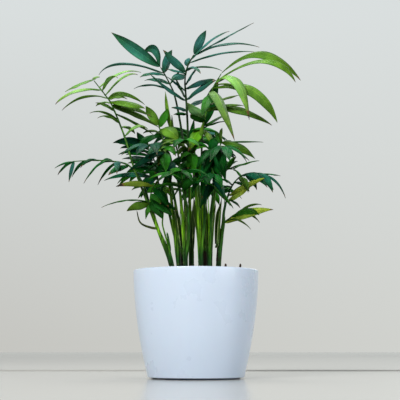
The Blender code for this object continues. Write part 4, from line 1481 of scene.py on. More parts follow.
@dataclass(frozen=True)
class LeafFinish:
    """The waxy upper face of a leaflet, or its paler, duller lower face."""

    name: str
    roughness: float
    lift: float
    gloss: float
    paleness: Colour = (0.0, 0.0, 0.0)
    pale_share: float = 0.0

    def made(self) -> bpy.types.Material:
        """Mixes the greens with veins, midrib, mottling, dried tip, a painted sheen and painted shade.

        Returns:
            The material.
        """
        recipe = Recipe(self.name)
        across = recipe.math("ABSOLUTE", recipe.stored("across"))
        length = recipe.stored("along")
        ground = recipe.blend(self.pale_share, recipe.tint(), self.paleness)
        ground = recipe.blend(1.0, ground, (self.lift, self.lift, self.lift), "MULTIPLY")
        waves = recipe.math("SINE", recipe.math("MULTIPLY", across, VEIN_SPACING))
        veins = recipe.step(waves, -1.0, 1.0)
        mottle = recipe.step(recipe.grain(110.0), 0.4, 0.66)
        midrib = recipe.step(across, 0.03, 0.1, 1.0, 0.0)
        edge = recipe.step(across, 0.76, 1.0)
        # A painted sheen lightens and blues the middle of each leaflet's length.
        painted_sheen_ends = recipe.step(length, 0.5, 0.85, 1.0, 0.0)
        painted_sheen = recipe.math("MULTIPLY", recipe.step(length, 0.12, 0.4), painted_sheen_ends)
        # Painted shade darkens each leaflet towards its root.
        base = recipe.step(length, 0.0, 0.35, 1.0, 0.0)
        point = recipe.step(length, 0.6, 1.0)
        for mask, strength, factor in (
            (veins, 0.6, (0.42, 0.47, 0.38)),
            (mottle, 0.7, (1.75, 1.55, 1.4)),
            (midrib, 0.7, (1.9, 1.6, 1.5)),
            (edge, 0.75, (0.4, 0.45, 0.35)),
            (painted_sheen, 0.7, (1.35, 1.4, 2.1)),
            (base, 0.75, (0.42, 0.52, 0.5)),
            (point, 0.75, (0.6, 0.55, 0.4)),
        ):
            ground = recipe.shaded(ground, mask, strength, factor)
        frayed = recipe.math("ADD", length, recipe.math("MULTIPLY", recipe.grain(420.0), 0.05))
        dried = recipe.math("ADD", recipe.math("SUBTRACT", frayed, 1.025), recipe.stored("dry"))
        ground = recipe.blend(recipe.step(dried, 0.0, 0.03), ground, DRYING_TINT)
        ground = recipe.blend(recipe.step(dried, 0.03, 0.08), ground, DRY_TIP_TINT)
        recipe.wire(ground, "Base Color")
        waxy = recipe.step(recipe.grain(260.0), 0.3, 0.7, self.roughness - 0.06, self.roughness + 0.08)
        recipe.wire(waxy, "Roughness")
        recipe.settle(
            Specular_IOR_Level=self.gloss, Specular_Tint=SHEEN_TINT,
            Subsurface_Weight=0.05, Subsurface_Radius=(0.5, 1.0, 0.2), Subsurface_Scale=0.0008,
        )
        recipe.bump(veins, 0.00008, 0.6)
        return recipe.material


@dataclass(frozen=True)
class StemFinish:
    """The fibrous skin of canes, sheaths and stalks."""

    name: str
    roughness: float
    streak: float = 0.8

    def made(self) -> bpy.types.Material:
        """Mixes the stem's green with lengthwise streaks, partly painted highlights and shade, and
        specks.

        Returns:
            The material.
        """
        recipe = Recipe(self.name)
        streaks = recipe.grain(620.0, 3.0, (1.0, 1.0, 0.03))
        # The streaks are partly the fibres' own and partly painted highlights and painted shade.
        dark, pale = recipe.step(streaks, 0.45, 0.6), recipe.step(streaks, 0.36, 0.46, 1.0, 0.0)
        ground = recipe.shaded(recipe.tint(), dark, self.streak, (0.22, 0.28, 0.25))
        ground = recipe.shaded(ground, pale, 0.8, (2.3, 1.9, 1.9))
        specks = recipe.math("MULTIPLY", recipe.step(recipe.grain(1300.0, 1.0), 0.66, 0.74), 0.5)
        ground = recipe.blend(specks, ground, SPECK_TINT)
        recipe.wire(ground, "Base Color")
        recipe.settle(Roughness=self.roughness, Specular_IOR_Level=0.1)
        recipe.bump(streaks, 0.00012, 0.7)
        return recipe.material


@dataclass(frozen=True)
class PotFinish:
    """Smooth bluish white plastic, a little cloudy, with faint scuffs."""

    name: str = "glossy_white_plastic"
    colour: Colour = (0.57, 0.655, 0.8)
    cloud_colour: Colour = (0.585, 0.67, 0.81)
    scuff_colour: Colour = (0.45, 0.52, 0.6)

    def made(self) -> bpy.types.Material:
        """Mixes the white with its clouds and scuffs, and paints shadow on the set-back foot.

        Returns:
            The material.
        """
        recipe = Recipe(self.name)
        clouds = recipe.step(recipe.grain(28.0, 4.0), 0.3, 0.7)
        ground = recipe.blend(recipe.math("MULTIPLY", clouds, 0.5), self.colour, self.cloud_colour)
        scuffs = recipe.step(recipe.grain(90.0, 5.0, (1.0, 1.0, 3.0)), 0.66, 0.8)
        ground = recipe.blend(recipe.math("MULTIPLY", scuffs, 0.07), ground, self.scuff_colour)
        # Painted shadow darkens the set-back foot, under the pot's edge.
        foot = recipe.step(recipe.place_along("Z"), 0.0012, 0.0017, 1.0, 0.0)
        recipe.wire(recipe.blend(foot, ground, FOOT_SHADE), "Base Color")
        recipe.wire(recipe.step(clouds, 0.0, 1.0, 0.27, 0.34), "Roughness")
        recipe.settle(
            Coat_Weight=0.35, Coat_Roughness=0.12, Subsurface_Weight=0.05, Subsurface_Scale=0.002
        )
        recipe.bump(recipe.grain(160.0, 2.0), 0.00003, 0.12)
        return recipe.material


@dataclass(frozen=True)
class SoilFinish:
    """Moist peat, from near black to brown, read from the mesh's own tint."""

    name: str
    roughness: float = 0.9

    def made(self) -> bpy.types.Material:
        """Mixes the tint with fine grain, with painted shade in the grain's low spots.

        Returns:
            The material.
        """
        recipe = Recipe(self.name)
        fine = recipe.grain(1500.0, 4.0)
        # Painted shade darkens the low spots of the fine bumps.
        hollows = recipe.step(fine, 0.35, 0.6, 0.7, 0.0)
        ground = recipe.blend(hollows, recipe.tint(), (0.35, 0.3, 0.28), "MULTIPLY")
        fibres = recipe.math("MULTIPLY", recipe.step(recipe.grain(420.0, 2.0), 0.6, 0.7), 0.5)
        ground = recipe.blend(fibres, ground, FIBRE_TINT)
        recipe.wire(ground, "Base Color")
        recipe.settle(Roughness=self.roughness)
        recipe.bump(fine, 0.0006, 0.8)
        return recipe.material


def pot_radius(height: float) -> float:
    """The outer radius of the pot's wall at that height."""
    share = max(0.0, (height - FOOT_HEIGHT) / (POT_HEIGHT - FOOT_HEIGHT))
    return POT_BASE_RADIUS + (POT_TOP_RADIUS - POT_BASE_RADIUS) * (1 - (1 - min(share, 1)) ** POT_BELLY)


def turned_shell(
    sculpt: Sculpt, profile: Sequence[tuple[float, float]], steps: int, tint: Colour
) -> None:
    """Turns a profile round the z axis into a closed solid.

    Args:
        sculpt: The mesh that it goes into.
        profile: Points of radius and height that begin and end on the axis.
        steps: How many steps the turn has.
        tint: Its colour.
    """
    verts = [sculpt.mesh.verts.new((radius, 0.0, height)) for radius, height in profile]
    edges = [sculpt.mesh.edges.new(pair) for pair in zip(verts, verts[1:])]
    bmesh.ops.spin(
        sculpt.mesh, geom=verts + edges, axis=UP, cent=(0, 0, 0), dvec=(0, 0, 0), angle=math.tau,
        steps=steps, use_merge=True, use_duplicate=False,
    )
    bmesh.ops.remove_doubles(sculpt.mesh, verts=sculpt.mesh.verts[:], dist=MERGE)
    bmesh.ops.recalc_face_normals(sculpt.mesh, faces=sculpt.mesh.faces[:])
    for vertex in sculpt.mesh.verts:
        sculpt.paint(vertex, tint, vertex.co.z / POT_HEIGHT, 0.0, 0.0)


@dataclass
class Pot:
    """The turned pot: a bellied wall, a rounded rim and a set-back foot."""

    steps: int = 160
    wall_points: int = 26
    rim_points: int = 10
    edge: float = 0.9
    inner_edge: float = 3.0
    edge_points: int = 4
    foot_edge: float = 0.3

    def profile(self) -> list[tuple[float, float]]:
        """The pot's outline from the middle of its floor, over the rim, to the middle of its foot.

        Returns:
            Points of radius and height.
        """
        lip = POT_WALL / 2
        rim_height = POT_HEIGHT - lip
        centre = pot_radius(rim_height) - lip
        floor_edge = pot_radius(POT_FLOOR) - POT_WALL
        made = [(0.0, POT_FLOOR)]
        for step in range(self.edge_points + 1):
            angle = math.pi / 2 * step / self.edge_points
            made.append((
                floor_edge - self.inner_edge * (1 - math.sin(angle)),
                POT_FLOOR + self.inner_edge * (1 - math.cos(angle)),
            ))
        span = rim_height - POT_FLOOR - self.inner_edge
        for i in range(1, self.wall_points + 1):
            height = POT_FLOOR + self.inner_edge + span * i / self.wall_points
            made.append((pot_radius(height) - POT_WALL, height))
        for step in range(1, self.rim_points):
            angle = math.pi * (1 - step / self.rim_points)
            made.append((centre + lip * math.cos(angle), rim_height + lip * math.sin(angle)))
        low = FOOT_HEIGHT + self.edge
        for i in range(self.wall_points + 1):
            height = rim_height + (low - rim_height) * i / self.wall_points
            made.append((pot_radius(height), height))
        for step in range(1, self.edge_points + 1):
            angle = math.pi / 2 * step / self.edge_points
            made.append((
                pot_radius(low) - self.edge * (1 - math.cos(angle)),
                low - self.edge * math.sin(angle),
            ))
        made += [(FOOT_RADIUS, FOOT_HEIGHT), (FOOT_RADIUS, self.foot_edge)]
        made += [(FOOT_RADIUS - self.foot_edge, 0.0), (0.0, 0.0)]
        return made

    def build(self, finish: bpy.types.Material) -> None:
        """Turns the pot and dresses it.

        Args:
            finish: The plastic.
        """
        sculpt = Sculpt()
        turned_shell(sculpt, self.profile(), self.steps, PotFinish.colour)
        place(sculpt.finished("pot_shell", [finish]), "pot", Slot.POT)


@dataclass
class Soil:
    """The soil: a bumpy plug, heaped a little round each cane, with loose crumbs on it."""

    steps: int = 144
    rings: int = 40
    crumbs: int = 1100
    seed: int = 31
    heap: float = 1.3
    heap_reach: float = 5.0
    depth_steps: int = 6
    over_floor: float = 3.5
    crumb_sizes: tuple[float, float] = (0.45, 1.35)
    chip_share: float = 0.06
    chip_size: float = 1.7
    rim_margin: float = 2.5

    def height(self, x: float, y: float) -> float:
        """Finds the soil's surface.

        Args:
            x: The place from left to right.
            y: The place from front to back.

        Returns:
            How high it stands there.
        """
        here = Vector((x, y, 0.0))
        lumps = noise.fractal(here * 0.09, 0.8, 2.1, 4) * 0.9 + noise.noise(here * 0.6) * 0.35
        nearest = min((x - palm.foot[0]) ** 2 + (y - palm.foot[1]) ** 2 for palm in PALMS.values())
        reach = min(1.0, math.hypot(x, y) / POT_TOP_RADIUS)
        heaped = self.heap * math.exp(-nearest / self.heap_reach ** 2)
        return SOIL_TOP + lumps * (1 - reach ** 4) + heaped

    def build(self, bed: bpy.types.Material, crumb: bpy.types.Material) -> None:
        """Shapes the plug and scatters the crumbs.

        Args:
            bed: The plug's finish.
            crumb: The crumbs' finish.
        """
        outer = pot_radius(SOIL_TOP) - POT_WALL - SOIL_GAP
        low = POT_FLOOR + self.over_floor
        profile = [(outer * i / self.rings, SOIL_TOP) for i in range(self.rings + 1)]
        for i in range(1, self.depth_steps + 1):
            height = SOIL_TOP + (low - SOIL_TOP) * i / self.depth_steps
            profile.append((pot_radius(height) - POT_WALL - SOIL_GAP, height))
        profile.append((0.0, low))
        sculpt = Sculpt()
        turned_shell(sculpt, profile, self.steps, PEAT_TINT)
        for vertex in sculpt.mesh.verts:
            if vertex.co.z > SOIL_TOP - MERGE:
                vertex.co.z = self.height(vertex.co.x, vertex.co.y)
        place(sculpt.finished("soil_bed", [bed]), "soil", Slot.SOIL)
        self.scatter(outer, crumb)

    def scatter(self, outer: float, finish: bpy.types.Material) -> None:
        """Scatters peat crumbs and a few bark chips over the soil.

        Args:
            outer: The radius of the soil.
            finish: The crumbs' finish.
        """
        chance = random.Random(self.seed)
        sculpt = Sculpt()
        for _ in range(self.crumbs):
            reach = (outer - self.rim_margin) * math.sqrt(chance.random())
            angle = chance.uniform(0, math.tau)
            x, y = reach * math.cos(angle), reach * math.sin(angle)
            size = chance.uniform(*self.crumb_sizes)
            size *= self.chip_size if chance.random() < self.chip_share else 1.0
            flat = Matrix.Diagonal((1.0, chance.uniform(0.5, 1.0), chance.uniform(0.4, 0.8), 1.0))
            turn = Matrix.Rotation(chance.uniform(0, math.tau), 4, "Z")
            tip = Matrix.Rotation(chance.uniform(-0.5, 0.5), 4, "X")
            spot = Matrix.Translation((x, y, self.height(x, y) + 0.2 * size))
            made = bmesh.ops.create_icosphere(
                sculpt.mesh, subdivisions=1, radius=size, matrix=spot @ turn @ tip @ flat
            )
            tint = chance.choices(CRUMB_TINTS, CRUMB_SHARES)[0]
            for vertex in made["verts"]:
                vertex.co += Vector([chance.uniform(-0.16, 0.16) * size for _ in range(3)])
                sculpt.paint(vertex, tint, 0.0, 0.0, 0.0)
        place(sculpt.finished("soil_crumbs", [finish]), "soil", Slot.SOIL)


@dataclass
class Greenery:
    """One palm: its ringed cane, husks, sheathed stalks and leaflets."""

    name: str
    palm: Palm
    number: int
    heart_length: float = 30.0
    sheath_share: float = 0.5
    sheath_lean: float = 1.8
    sheath_radius: float = 1.7
    sheath_gap: float = 0.2
    sheath_layer: float = 0.1
    petiole_radius: float = 1.3
    rachis_radius: float = 0.95
    rachis_tip_radius: float = 0.45
    stub_radius: float = 1.35
    stump_width: float = 2.2
    free_share: float = 0.8
    free_length: float = 30.0
    leaf_green_share: float = 0.2
    shoot_radius: float = 0.9
    shoot_taper: float = 0.7
    shoots: int = 2
    shoot_rows: int = 30
    shoot_depth: float = 5
    shoot_tops: tuple[float, float] = (150, 205)
    shoot_leans: tuple[float, float] = (0.5, 8.0)
    shoot_lights: tuple[float, float] = (0.8, 1.9)
    husk_share: float = 0.7
    husk_grid: tuple[int, int] = (16, 9)
    husk_thickness: float = 0.25
    husk_light: float = 0.6
    husk_straw: tuple[float, float] = (0.0, 0.35)
    husk_ragged: tuple[float, float] = (0.72, 1.0)
    husk_feet: tuple[float, float] = (102, 122)
    husk_lengths: tuple[float, float] = (14, 30)
    first_ring: tuple[float, float] = (3, 8)
    ring_gap: tuple[float, float] = (8, 15)
    ring_width: float = 0.7
    ring_height: float = 0.28
    joint_width: float = 1.3
    joint_height: float = 0.22

    def __post_init__(self) -> None:
        """Starts the palm's own random numbers and finds its cane."""
        self.chance = random.Random(PALM_SEED + self.number)
        curve = cane_curve(self.palm)
        self.line = spaced(curve, round(line_length(curve) / CANE_STEP))
        drawn = 1.0 if self.palm.slot is Slot.BRIGHT else self.chance.uniform(0.45, 0.9)
        self.freshness = STEM_FRESHNESS.get(self.name, drawn)

    def stem_tint(self, height: float, light: float = 1.0) -> Colour:
        """The stem's green at a height: brown at the soil, then dark, and fresh where leaves part."""
        fresh = mixed(Tone.STEM_DEEP.value, Tone.STEM_FRESH.value, self.freshness)
        lit = mixed(Tone.STEM_DEEP.value, fresh, smooth_step(*STEM_FRESHENS, height))
        return brightened(mixed(Tone.STEM_FOOT.value, lit, smooth_step(*FOOT_FADES, height)), light)

    def cane_radius(self, share: float) -> float:
        """The cane's radius that share of the way up."""
        return self.palm.radius * (1 - (1 - CANE_TAPER) * share)

    def cane(self, sculpt: Sculpt) -> None:
        """Builds the cane, with a ring where each old leaf sat.

        Args:
            sculpt: The stems' mesh.
        """
        rings, height = [], SOIL_TOP + self.chance.uniform(*self.first_ring)
        while height < self.palm.top[2]:
            rings.append(height)
            height += self.chance.uniform(*self.ring_gap)
        radii, tints = [], []
        for row, point in enumerate(self.line):
            share = row / (len(self.line) - 1)
            ring = nearness(point.z, rings, self.ring_width)
            closing = smooth_step(0.0, self.heart_length, (len(self.line) - 1 - row) * CANE_STEP)
            radii.append((self.cane_radius(share) + self.ring_height * ring) * closing)
            tints.append(mixed(self.stem_tint(point.z), RING_TINT, 0.6 * ring))
        sculpt.tube(self.line, [0.0, *radii[1:]], tints, CANE_SIDES, CANE_RIBS)

    def stalk(self, sculpt: Sculpt, name: str, lines: StalkLines, order: int) -> None:
        """Builds a frond's stalk, from the sheath that clasps the cane to the end of its rachis.

        Args:
            sculpt: The stems' mesh.
            name: The frond's name.
            lines: Its lines.
            order: How many other sheaths it lies over.
        """
        stalk = FRONDS[name]
        last = round(stalk.leave * (len(self.line) - 1))
        first = max(round((stalk.leave - self.sheath_share) * (len(self.line) - 1)), 1)
        pieces = max(4, round((last - first) * CANE_STEP / STALK_STEP))
        clasped = spaced(self.line[first:last + 1], pieces)
        line = clasped + lines.petiole[1:] + lines.rachis[1:]
        bare, leafy = line_length(lines.petiole), line_length(lines.rachis)
        sheath = line_length(clasped)
        marks = [leaflet.at * leafy for leaflet in stalk.leaflets]
        dry = FROND_LOOKS[name].tone is Tone.HUSK
        green_share = 1.0 if dry else self.leaf_green_share
        tone = mixed(Tone.STEM_DEEP.value, FROND_LOOKS[name].tone.value, green_share)
        light, stoutness = DARK_STALKS.get(name, (1.0, 1.0))
        tone = brightened(tone, light)
        ends = (self.stub_radius, self.rachis_tip_radius * (1 if dry else self.stump_width))
        if stalk.leaflets or stalk.fan:
            ends = (self.rachis_radius * stoutness, self.rachis_tip_radius * stoutness)
        cane = self.cane_radius(stalk.leave)
        outward = self.departure(lines, order)
        base = cane + self.sheath_gap + self.sheath_layer * order
        points, radii, tints, travelled = [], [], [], -sheath
        for row, point in enumerate(line):
            if row:
                travelled += (point - line[row - 1]).length
            if travelled <= 0:
                share = 1 + travelled / sheath
                lean = smooth_step(0.1, 0.75, share)
                radius = base + (self.sheath_radius - base) * lean
                tint = self.stem_tint(point.z, 0.85 + 0.4 * share)
                tint = mixed(Tone.STRAW.value, tint, 0.35 + 0.65 * smooth_step(0.0, 0.06, share))
            elif travelled <= bare:
                free = min(bare * self.free_share, self.free_length)
                lean = 1 - smooth_step(0.0, bare * 0.6, travelled)
                radius = self.sheath_radius
                radius += (self.petiole_radius - radius) * smooth_step(0.0, free, travelled)
                radius += (ends[0] - self.petiole_radius) * smooth_step(free, bare, travelled)
                greened = 0.9 * smooth_step(0.0, free, travelled)
                tint = mixed(self.stem_tint(point.z, 1.1), tone, greened)
            else:
                lean = 0.0
                share = (travelled - bare) / leafy
                radius = ends[0] + (ends[1] - ends[0]) * share
                radius += self.joint_height * nearness(share * leafy, marks, self.joint_width)
                tint = mixed(self.stem_tint(point.z, 1.1 * light), tone, 0.85)
            points.append(point + outward * self.sheath_lean * lean)
            radii.append(radius)
            tints.append(tint)
        radii[0] = radii[-1] = 0.0
        sculpt.tube(points, radii, tints, STALK_SIDES, STALK_RIBS)

    def shoot(self, sculpt: Sculpt) -> None:
        """Builds a young shoot, a thin green spike that stands close beside the cane.

        Args:
            sculpt: The stems' mesh.
        """
        chance = self.chance
        angle, top = chance.uniform(0, math.tau), chance.uniform(*self.shoot_tops)
        out = Vector((math.cos(angle), math.sin(angle), 0.0))
        lean, light = chance.uniform(*self.shoot_leans), chance.uniform(*self.shoot_lights)
        low, high = self.line[0].z, self.line[-1].z
        foot = SOIL_TOP - self.shoot_depth
        points, radii, tints = [], [], []
        for row in range(self.shoot_rows + 1):
            share = row / self.shoot_rows
            height = foot + (top - foot) * share
            middle, _ = along(self.line, (height - low) / (high - low))
            spot = middle + out * (self.palm.radius * 0.9 + lean * share * share)
            points.append(Vector((spot.x, spot.y, height)))
            radii.append(self.shoot_radius * (1 - self.shoot_taper * share ** 2))
            tints.append(self.stem_tint(height, light))
        radii[0] = radii[-1] = 0.0
        sculpt.tube(points, radii, tints, STALK_SIDES, STALK_RIBS)

    @staticmethod
    def crown_shade(blade: Blade) -> float:
        """How much painted shade darkens a leaflet: most low in the middle of the crown, where its
        shade falls.
        """
        middle = (blade.root + blade.bend + blade.tip) / 3
        outer = smooth_step(*OUTER_SHADE_FADES, math.hypot(middle.x, middle.y))
        return DEEPEST_CROWN_SHADE + (1 - DEEPEST_CROWN_SHADE) * max(outer, smooth_step(*CROWN_SHADE_FADES, middle.z))

    @staticmethod
    def departure(lines: StalkLines, order: int) -> Vector:
        """Finds the side of the cane on which a stalk leaves it.

        Args:
            lines: The stalk's lines.
            order: Its number on the cane, which decides where its first stretch is upright.

        Returns:
            The level direction.
        """
        start = lines.petiole[0]
        far_off = (point for point in lines.petiole if (point - start).length > DEPARTURE_REACH)
        gone = next(far_off, lines.petiole[-1])
        level = Vector((gone.x - start.x, gone.y - start.y, 0.0))
        if level.length < DEPARTURE_LEAST:
            turn = STALK_TURN * order + FIRST_STALK_TURN
            level = Vector((math.cos(turn), math.sin(turn), 0.0))
        return level.normalized()

    def husk(self, sculpt: Sculpt) -> None:
        """Wraps a dried, ragged sheath round the lower cane, open down one side.

        Args:
            sculpt: The husks' mesh.
        """
        chance = self.chance
        base = chance.uniform(*self.husk_feet)
        length = chance.uniform(*self.husk_lengths)
        facing = chance.uniform(0, math.tau)
        columns, rows = self.husk_grid
        ragged = [chance.uniform(*self.husk_ragged) for _ in range(columns + 1)]
        grid = sculpt.grid(columns, rows)
        tint = mixed(Tone.HUSK.value, Tone.STRAW.value, chance.uniform(*self.husk_straw))
        tint = brightened(tint, self.husk_light)
        for vertex, side, row in grid:
            column = round((side + 1) / 2 * columns)
            share = row / rows
            angle = facing + side * math.pi * (0.97 - 0.35 * share)
            height = base + length * share * (ragged[column] if row > rows // 2 else 1.0)
            place_up = (height - self.line[0].z) / (self.line[-1].z - self.line[0].z)
            middle, _ = along(self.line, place_up)
            radius = self.cane_radius(place_up) + 0.25 + 0.5 * share ** 3 + 0.07 * math.sin(9 * angle)
            vertex.co = middle + Vector((math.cos(angle), math.sin(angle), 0.0)) * radius
            sculpt.paint(vertex, brightened(tint, 0.7 + 0.5 * share), share, math.sin(9 * angle), 0.0)
        sculpt.thicken((vertex for vertex, _, _ in grid), self.husk_thickness)

    def build(self, leaf_finishes: Sequence[bpy.types.Material], stem: bpy.types.Material) -> None:
        """Builds the palm's stems, husks and leaflets.

        Args:
            leaf_finishes: The upper and lower faces' finishes.
            stem: The stems' finish.
        """
        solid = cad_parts[self.name].data.vertices
        tips = KDTree(len(solid))
        for index, corner in enumerate(solid):
            tips.insert(corner.co, index)
        tips.balance()
        stems, leaves = Sculpt(), Sculpt()
        self.cane(stems)
        if self.chance.random() < self.husk_share and self.name not in BARE_CANES:
            self.husk(stems)
        names = [name for name, stalk in FRONDS.items() if stalk.palm == self.name]
        for order, name in enumerate(names):
            lines = stalk_lines(FRONDS[name], STALK_STEP)
            self.stalk(stems, name, lines, order)
            for number, blade in frond_blades(name, lines, tips):
                form = LeafForm.drawn(FROND_LOOKS[name], number, self.chance)
                # Painted shade darkens each leaflet by how deep in the crown it sits.
                leaves.leaf(blade, replace(form, tint=brightened(form.tint, self.crown_shade(blade))))
        for _ in range(0 if self.name in BARE_CANES else self.shoots):
            self.shoot(stems)
        for sheath in OPEN_SHEATHS:
            if sheath.palm == self.name:
                sheath.build(stems)
        place(stems.finished(f"{self.name}_stems", [stem]), self.name, self.palm.slot)
        place(leaves.finished(f"{self.name}_leaves", leaf_finishes), self.name, self.palm.slot)


@dataclass(frozen=True)
class OpenSheath:
    """A loose green sheath that has split open round the young stalks inside it."""

    palm: str
    points: tuple[Point, Point, Point]
    radius: float
    facing: float
    tone: Tone = Tone.OLIVE
    columns: int = 12
    rows: int = 22
    opening: float = 2.2
    thickness: float = 0.3

    def build(self, sculpt: Sculpt) -> None:
        """Wraps a grid round the sheath's line, tapers it to its tongue and gives it a thickness.

        Args:
            sculpt: The stems' mesh.
        """
        places = spaced(joined(smooth_spans([Vector(point) for point in self.points])), self.rows)
        ahead = (places[-1] - places[0]).normalized()
        outward = Vector((math.cos(self.facing), math.sin(self.facing), 0.0))
        outward = (outward - ahead * outward.dot(ahead)).normalized()
        aside = ahead.cross(outward)
        grid = sculpt.grid(self.columns, self.rows)
        for vertex, side, row in grid:
            share = row / self.rows
            narrowing = 1 - 0.94 * smooth_step(0.55, 1.0, share)
            angle = side * self.opening * (1 - 0.35 * share) * narrowing
            radius = self.radius * (0.8 + 0.35 * math.sin(math.pi * share)) + 0.05 * math.cos(9 * angle)
            vertex.co = places[row] + (outward * math.cos(angle) + aside * math.sin(angle)) * radius
            tint = mixed(self.tone.value, Tone.STEM_DEEP.value, 0.75 * (1 - share) ** 2)
            tint = mixed(tint, PALE_EDGE, 0.85 * smooth_step(0.84, 0.96, abs(side)))
            sculpt.paint(vertex, tint, share, side, 0.0)
        sculpt.thicken((vertex for vertex, _, _ in grid), self.thickness)


OPEN_SHEATHS = (
    OpenSheath("palm_front", ((4, -10, 138), (1.5, -11, 160), (-6, -12, 192)), 3.0, 0.5),
    OpenSheath("palm_left_mid", ((-16.5, 1, 138), (-18, -2, 156), (-21, -5, 188)), 2.9, 2.7),
    OpenSheath("palm_tall_left", ((-10.8, -4, 136), (-11, -6, 154), (-13, -9, 185)), 2.9, 0.6),
    OpenSheath("palm_right", ((10, 2, 136), (11, 0, 156), (14, -3, 186)), 2.9, 2.6, Tone.FRESH),
    OpenSheath("palm_right_mid", ((14.7, -8, 136), (15, -9, 152), (19, -11, 186)), 2.9, 0.4),
    OpenSheath("palm_tall_right", ((-4, 6, 136), (-3, 3, 156), (0, 0, 190)), 2.9, 2.8),
    OpenSheath("palm_far_right", ((22, -2, 136), (24, -3, 142), (26, -4, 166)), 2.9, 2.7, Tone.FRESH),
    OpenSheath("palm_far_right", ((22, -4, 140), (22.5, -5, 165), (25, -6, 192)), 3.0, 0.5, Tone.FRESH),
    OpenSheath("palm_front_left", ((-10.5, -18, 136), (-11, -20, 145), (-13, -25, 170)), 2.9, 0.6),
    OpenSheath("palm_back", ((5, 21, 136), (6, 25, 150), (9, 29, 182)), 2.9, 1.3),
    OpenSheath("palm_back_left", ((-13, 19, 136), (-16, 23, 148), (-22, 29, 176)), 2.9, 2.2),
    OpenSheath("palm_back_right", ((12.5, 15, 136), (13.5, 18, 150), (17, 22, 182)), 2.9, 0.6),
)


@dataclass
class Stub:
    """A short dry stub of an old stem, with a ragged end."""

    name: str
    palm: Palm
    number: int

    def build(self, finish: bpy.types.Material) -> None:
        """Builds the stub.

        Args:
            finish: Its fibrous skin.
        """
        chance = random.Random(STUB_SEED + self.number)
        curve = cane_curve(self.palm)
        line = spaced(curve, round(line_length(curve) / CANE_STEP))
        taper = (1 - CANE_TAPER) / len(line)
        radii = [self.palm.radius * (1 - taper * row) for row in range(len(line))]
        radii[-2] *= 0.8
        radii[0] = radii[-1] = 0.0
        tints = [brightened(Tone.HUSK.value, chance.uniform(0.7, 1.3)) for _ in line]
        sculpt = Sculpt()
        sculpt.tube(line, radii, tints, STALK_SIDES, STUB_RIBS)
        place(sculpt.finished(f"{self.name}_wood", [finish]), self.name, Slot.DRY)


@dataclass(frozen=True)
class SoftLight:
    """A square soft light that faces the plant: its place and side in metres, and its watts."""

    name: str
    place: Point
    side: float
    power: float
    colour: Colour

    def build(self) -> None:
        """Hangs the light."""
        data = bpy.data.lights.new(self.name, "AREA")
        data.shape = "SQUARE"
        data.size = self.side
        data.energy = self.power
        data.color = self.colour
        lamp = bpy.data.objects.new(self.name, data)
        lamp.location = self.place
        lamp.rotation_euler = (LIT_PLACE - Vector(self.place)).to_track_quat("-Z", "Y").to_euler()
        bpy.context.scene.collection.objects.link(lamp)


LIT_PLACE = Vector((0, 0, 0.18))
SOFT_LIGHTS = (
    SoftLight("key", (-0.72, -1.38, 1.22), 0.5, 30.0, (1.0, 1.0, 0.96)),
    SoftLight("fill", (1.35, -0.85, 0.6), 1.0, 7.0, (0.95, 0.98, 1.0)),
    SoftLight("top", (-0.1, 0.3, 1.5), 0.6, 14.0, (1.0, 1.0, 0.97)),
    SoftLight("back", (0.9, 1.4, 0.9), 1.0, 5.0, (1.0, 1.0, 1.0)),
)


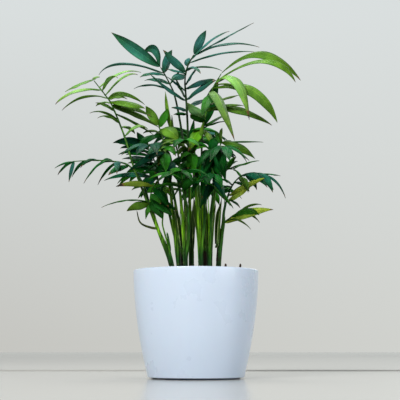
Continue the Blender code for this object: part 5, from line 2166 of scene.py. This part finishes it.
@dataclass
class Studio:
    """The plain pale floor, the soft light and the camera of the photograph, in metres."""

    floor_size: float = 4.0
    floor_colour: Colour = (0.4, 0.395, 0.38)
    far_floor_colour: Colour = (0.9, 0.9, 0.86)
    floor_fades: tuple[float, float] = (1.0, 4.0)
    step_place: float = 0.33
    step_height: float = 0.0016
    low_sky: Colour = (0.56, 0.56, 0.53)
    low_sky_right: Colour = (0.63, 0.64, 0.61)
    high_sky: Colour = (0.7, 0.74, 0.74)
    ceiling: Colour = (0.3, 0.32, 0.32)
    sky_turns: tuple[float, float] = (-0.19, 0.19)
    sky_rises: tuple[float, float] = (0.0, 0.32)
    ceiling_starts: tuple[float, float] = (0.3, 0.62)
    camera_place: Point = (0.0042, -1.1025, 0.034)
    camera_pitch: float = 7.889
    lens: float = 94.5

    def sky(self) -> None:
        """Lets the room's soft light fall off a little towards the floor, the left and the ceiling."""
        world = bpy.data.worlds.new("pale_room")
        world.use_nodes = True
        nodes = Nodes(world.node_tree, "Generated")
        height = nodes.place_along("Z")
        side = nodes.step(nodes.place_along("X"), *self.sky_turns, shape="LINEAR")
        low = nodes.blend(side, self.low_sky, self.low_sky_right)
        wall = nodes.blend(nodes.step(height, *self.sky_rises, shape="LINEAR"), low, self.high_sky)
        room = nodes.blend(nodes.step(height, *self.ceiling_starts), wall, self.ceiling)
        nodes.feed(world.node_tree.nodes["Background"].inputs["Color"], room)
        bpy.context.scene.world = world

    def floor(self) -> None:
        """Lays the floor, with its slight step behind the plant."""
        recipe = Recipe("pale_floor")
        recipe.settle(Roughness=0.16)
        far_off = recipe.step(recipe.math("ABSOLUTE", recipe.place_along("Y")), *self.floor_fades)
        recipe.wire(recipe.blend(far_off, self.floor_colour, self.far_floor_colour), "Base Color")
        shape = bmesh.new()
        profile = (
            (-self.floor_size, 0.0), (self.step_place, 0.0),
            (self.step_place, self.step_height), (self.floor_size, self.step_height),
        )
        near = [shape.verts.new((-self.floor_size, y, z)) for y, z in profile]
        edges = [shape.edges.new(pair) for pair in zip(near, near[1:])]
        made = bmesh.ops.extrude_edge_only(shape, edges=edges)
        far = [item for item in made["geom"] if isinstance(item, bmesh.types.BMVert)]
        bmesh.ops.translate(shape, verts=far, vec=(2 * self.floor_size, 0, 0))
        bmesh.ops.recalc_face_normals(shape, faces=shape.faces[:])
        if shape.faces[:][0].normal.z < 0:
            bmesh.ops.reverse_faces(shape, faces=shape.faces[:])
        data = bpy.data.meshes.new("floor")
        shape.to_mesh(data)
        shape.free()
        data.materials.append(recipe.material)
        floor = bpy.data.objects.new("floor", data)
        bpy.context.scene.collection.objects.link(floor)

    def camera(self) -> None:
        """Sets the camera up where the photograph was taken."""
        camera = bpy.data.objects.new("camera", bpy.data.cameras.new("camera"))
        camera.data.sensor_width = 36.0
        camera.data.lens = self.lens
        camera.data.clip_start = 0.01
        camera.location = self.camera_place
        camera.rotation_euler = (math.radians(90 + self.camera_pitch), 0.0, 0.0)
        bpy.context.scene.collection.objects.link(camera)
        bpy.context.scene.camera = camera

    def build(self) -> None:
        """Sets up the sky, the floor, the lights and the camera."""
        bpy.context.scene.view_settings.view_transform = "Standard"
        self.sky()
        self.floor()
        for light in SOFT_LIGHTS:
            light.build()
        self.camera()


def main() -> None:
    """Builds the studio and every piece of the plant."""
    logging.basicConfig(level=logging.INFO, format="%(name)s: %(message)s")
    Studio().build()
    Pot().build(PotFinish().made())
    Soil().build(SoilFinish("moist_peat").made(), SoilFinish("peat_crumbs", 0.85).made())
    upper = LeafFinish("leaf_upper", roughness=0.36, lift=1.0, gloss=0.05)
    lower = LeafFinish("leaf_lower", 0.7, 1.15, 0.0, paleness=(0.03, 0.14, 0.015), pale_share=0.12)
    leaf_finishes = [upper.made(), lower.made()]
    stem = StemFinish("fibrous_stem", 0.5).made()
    dry = StemFinish("dry_fibres", 0.8).made()
    for number, (name, palm) in enumerate(PALMS.items()):
        if palm.slot is Slot.DRY:
            Stub(name, palm, number).build(dry)
        else:
            Greenery(name, palm, number).build(leaf_finishes, stem)


if __name__ == "__main__":
    main()
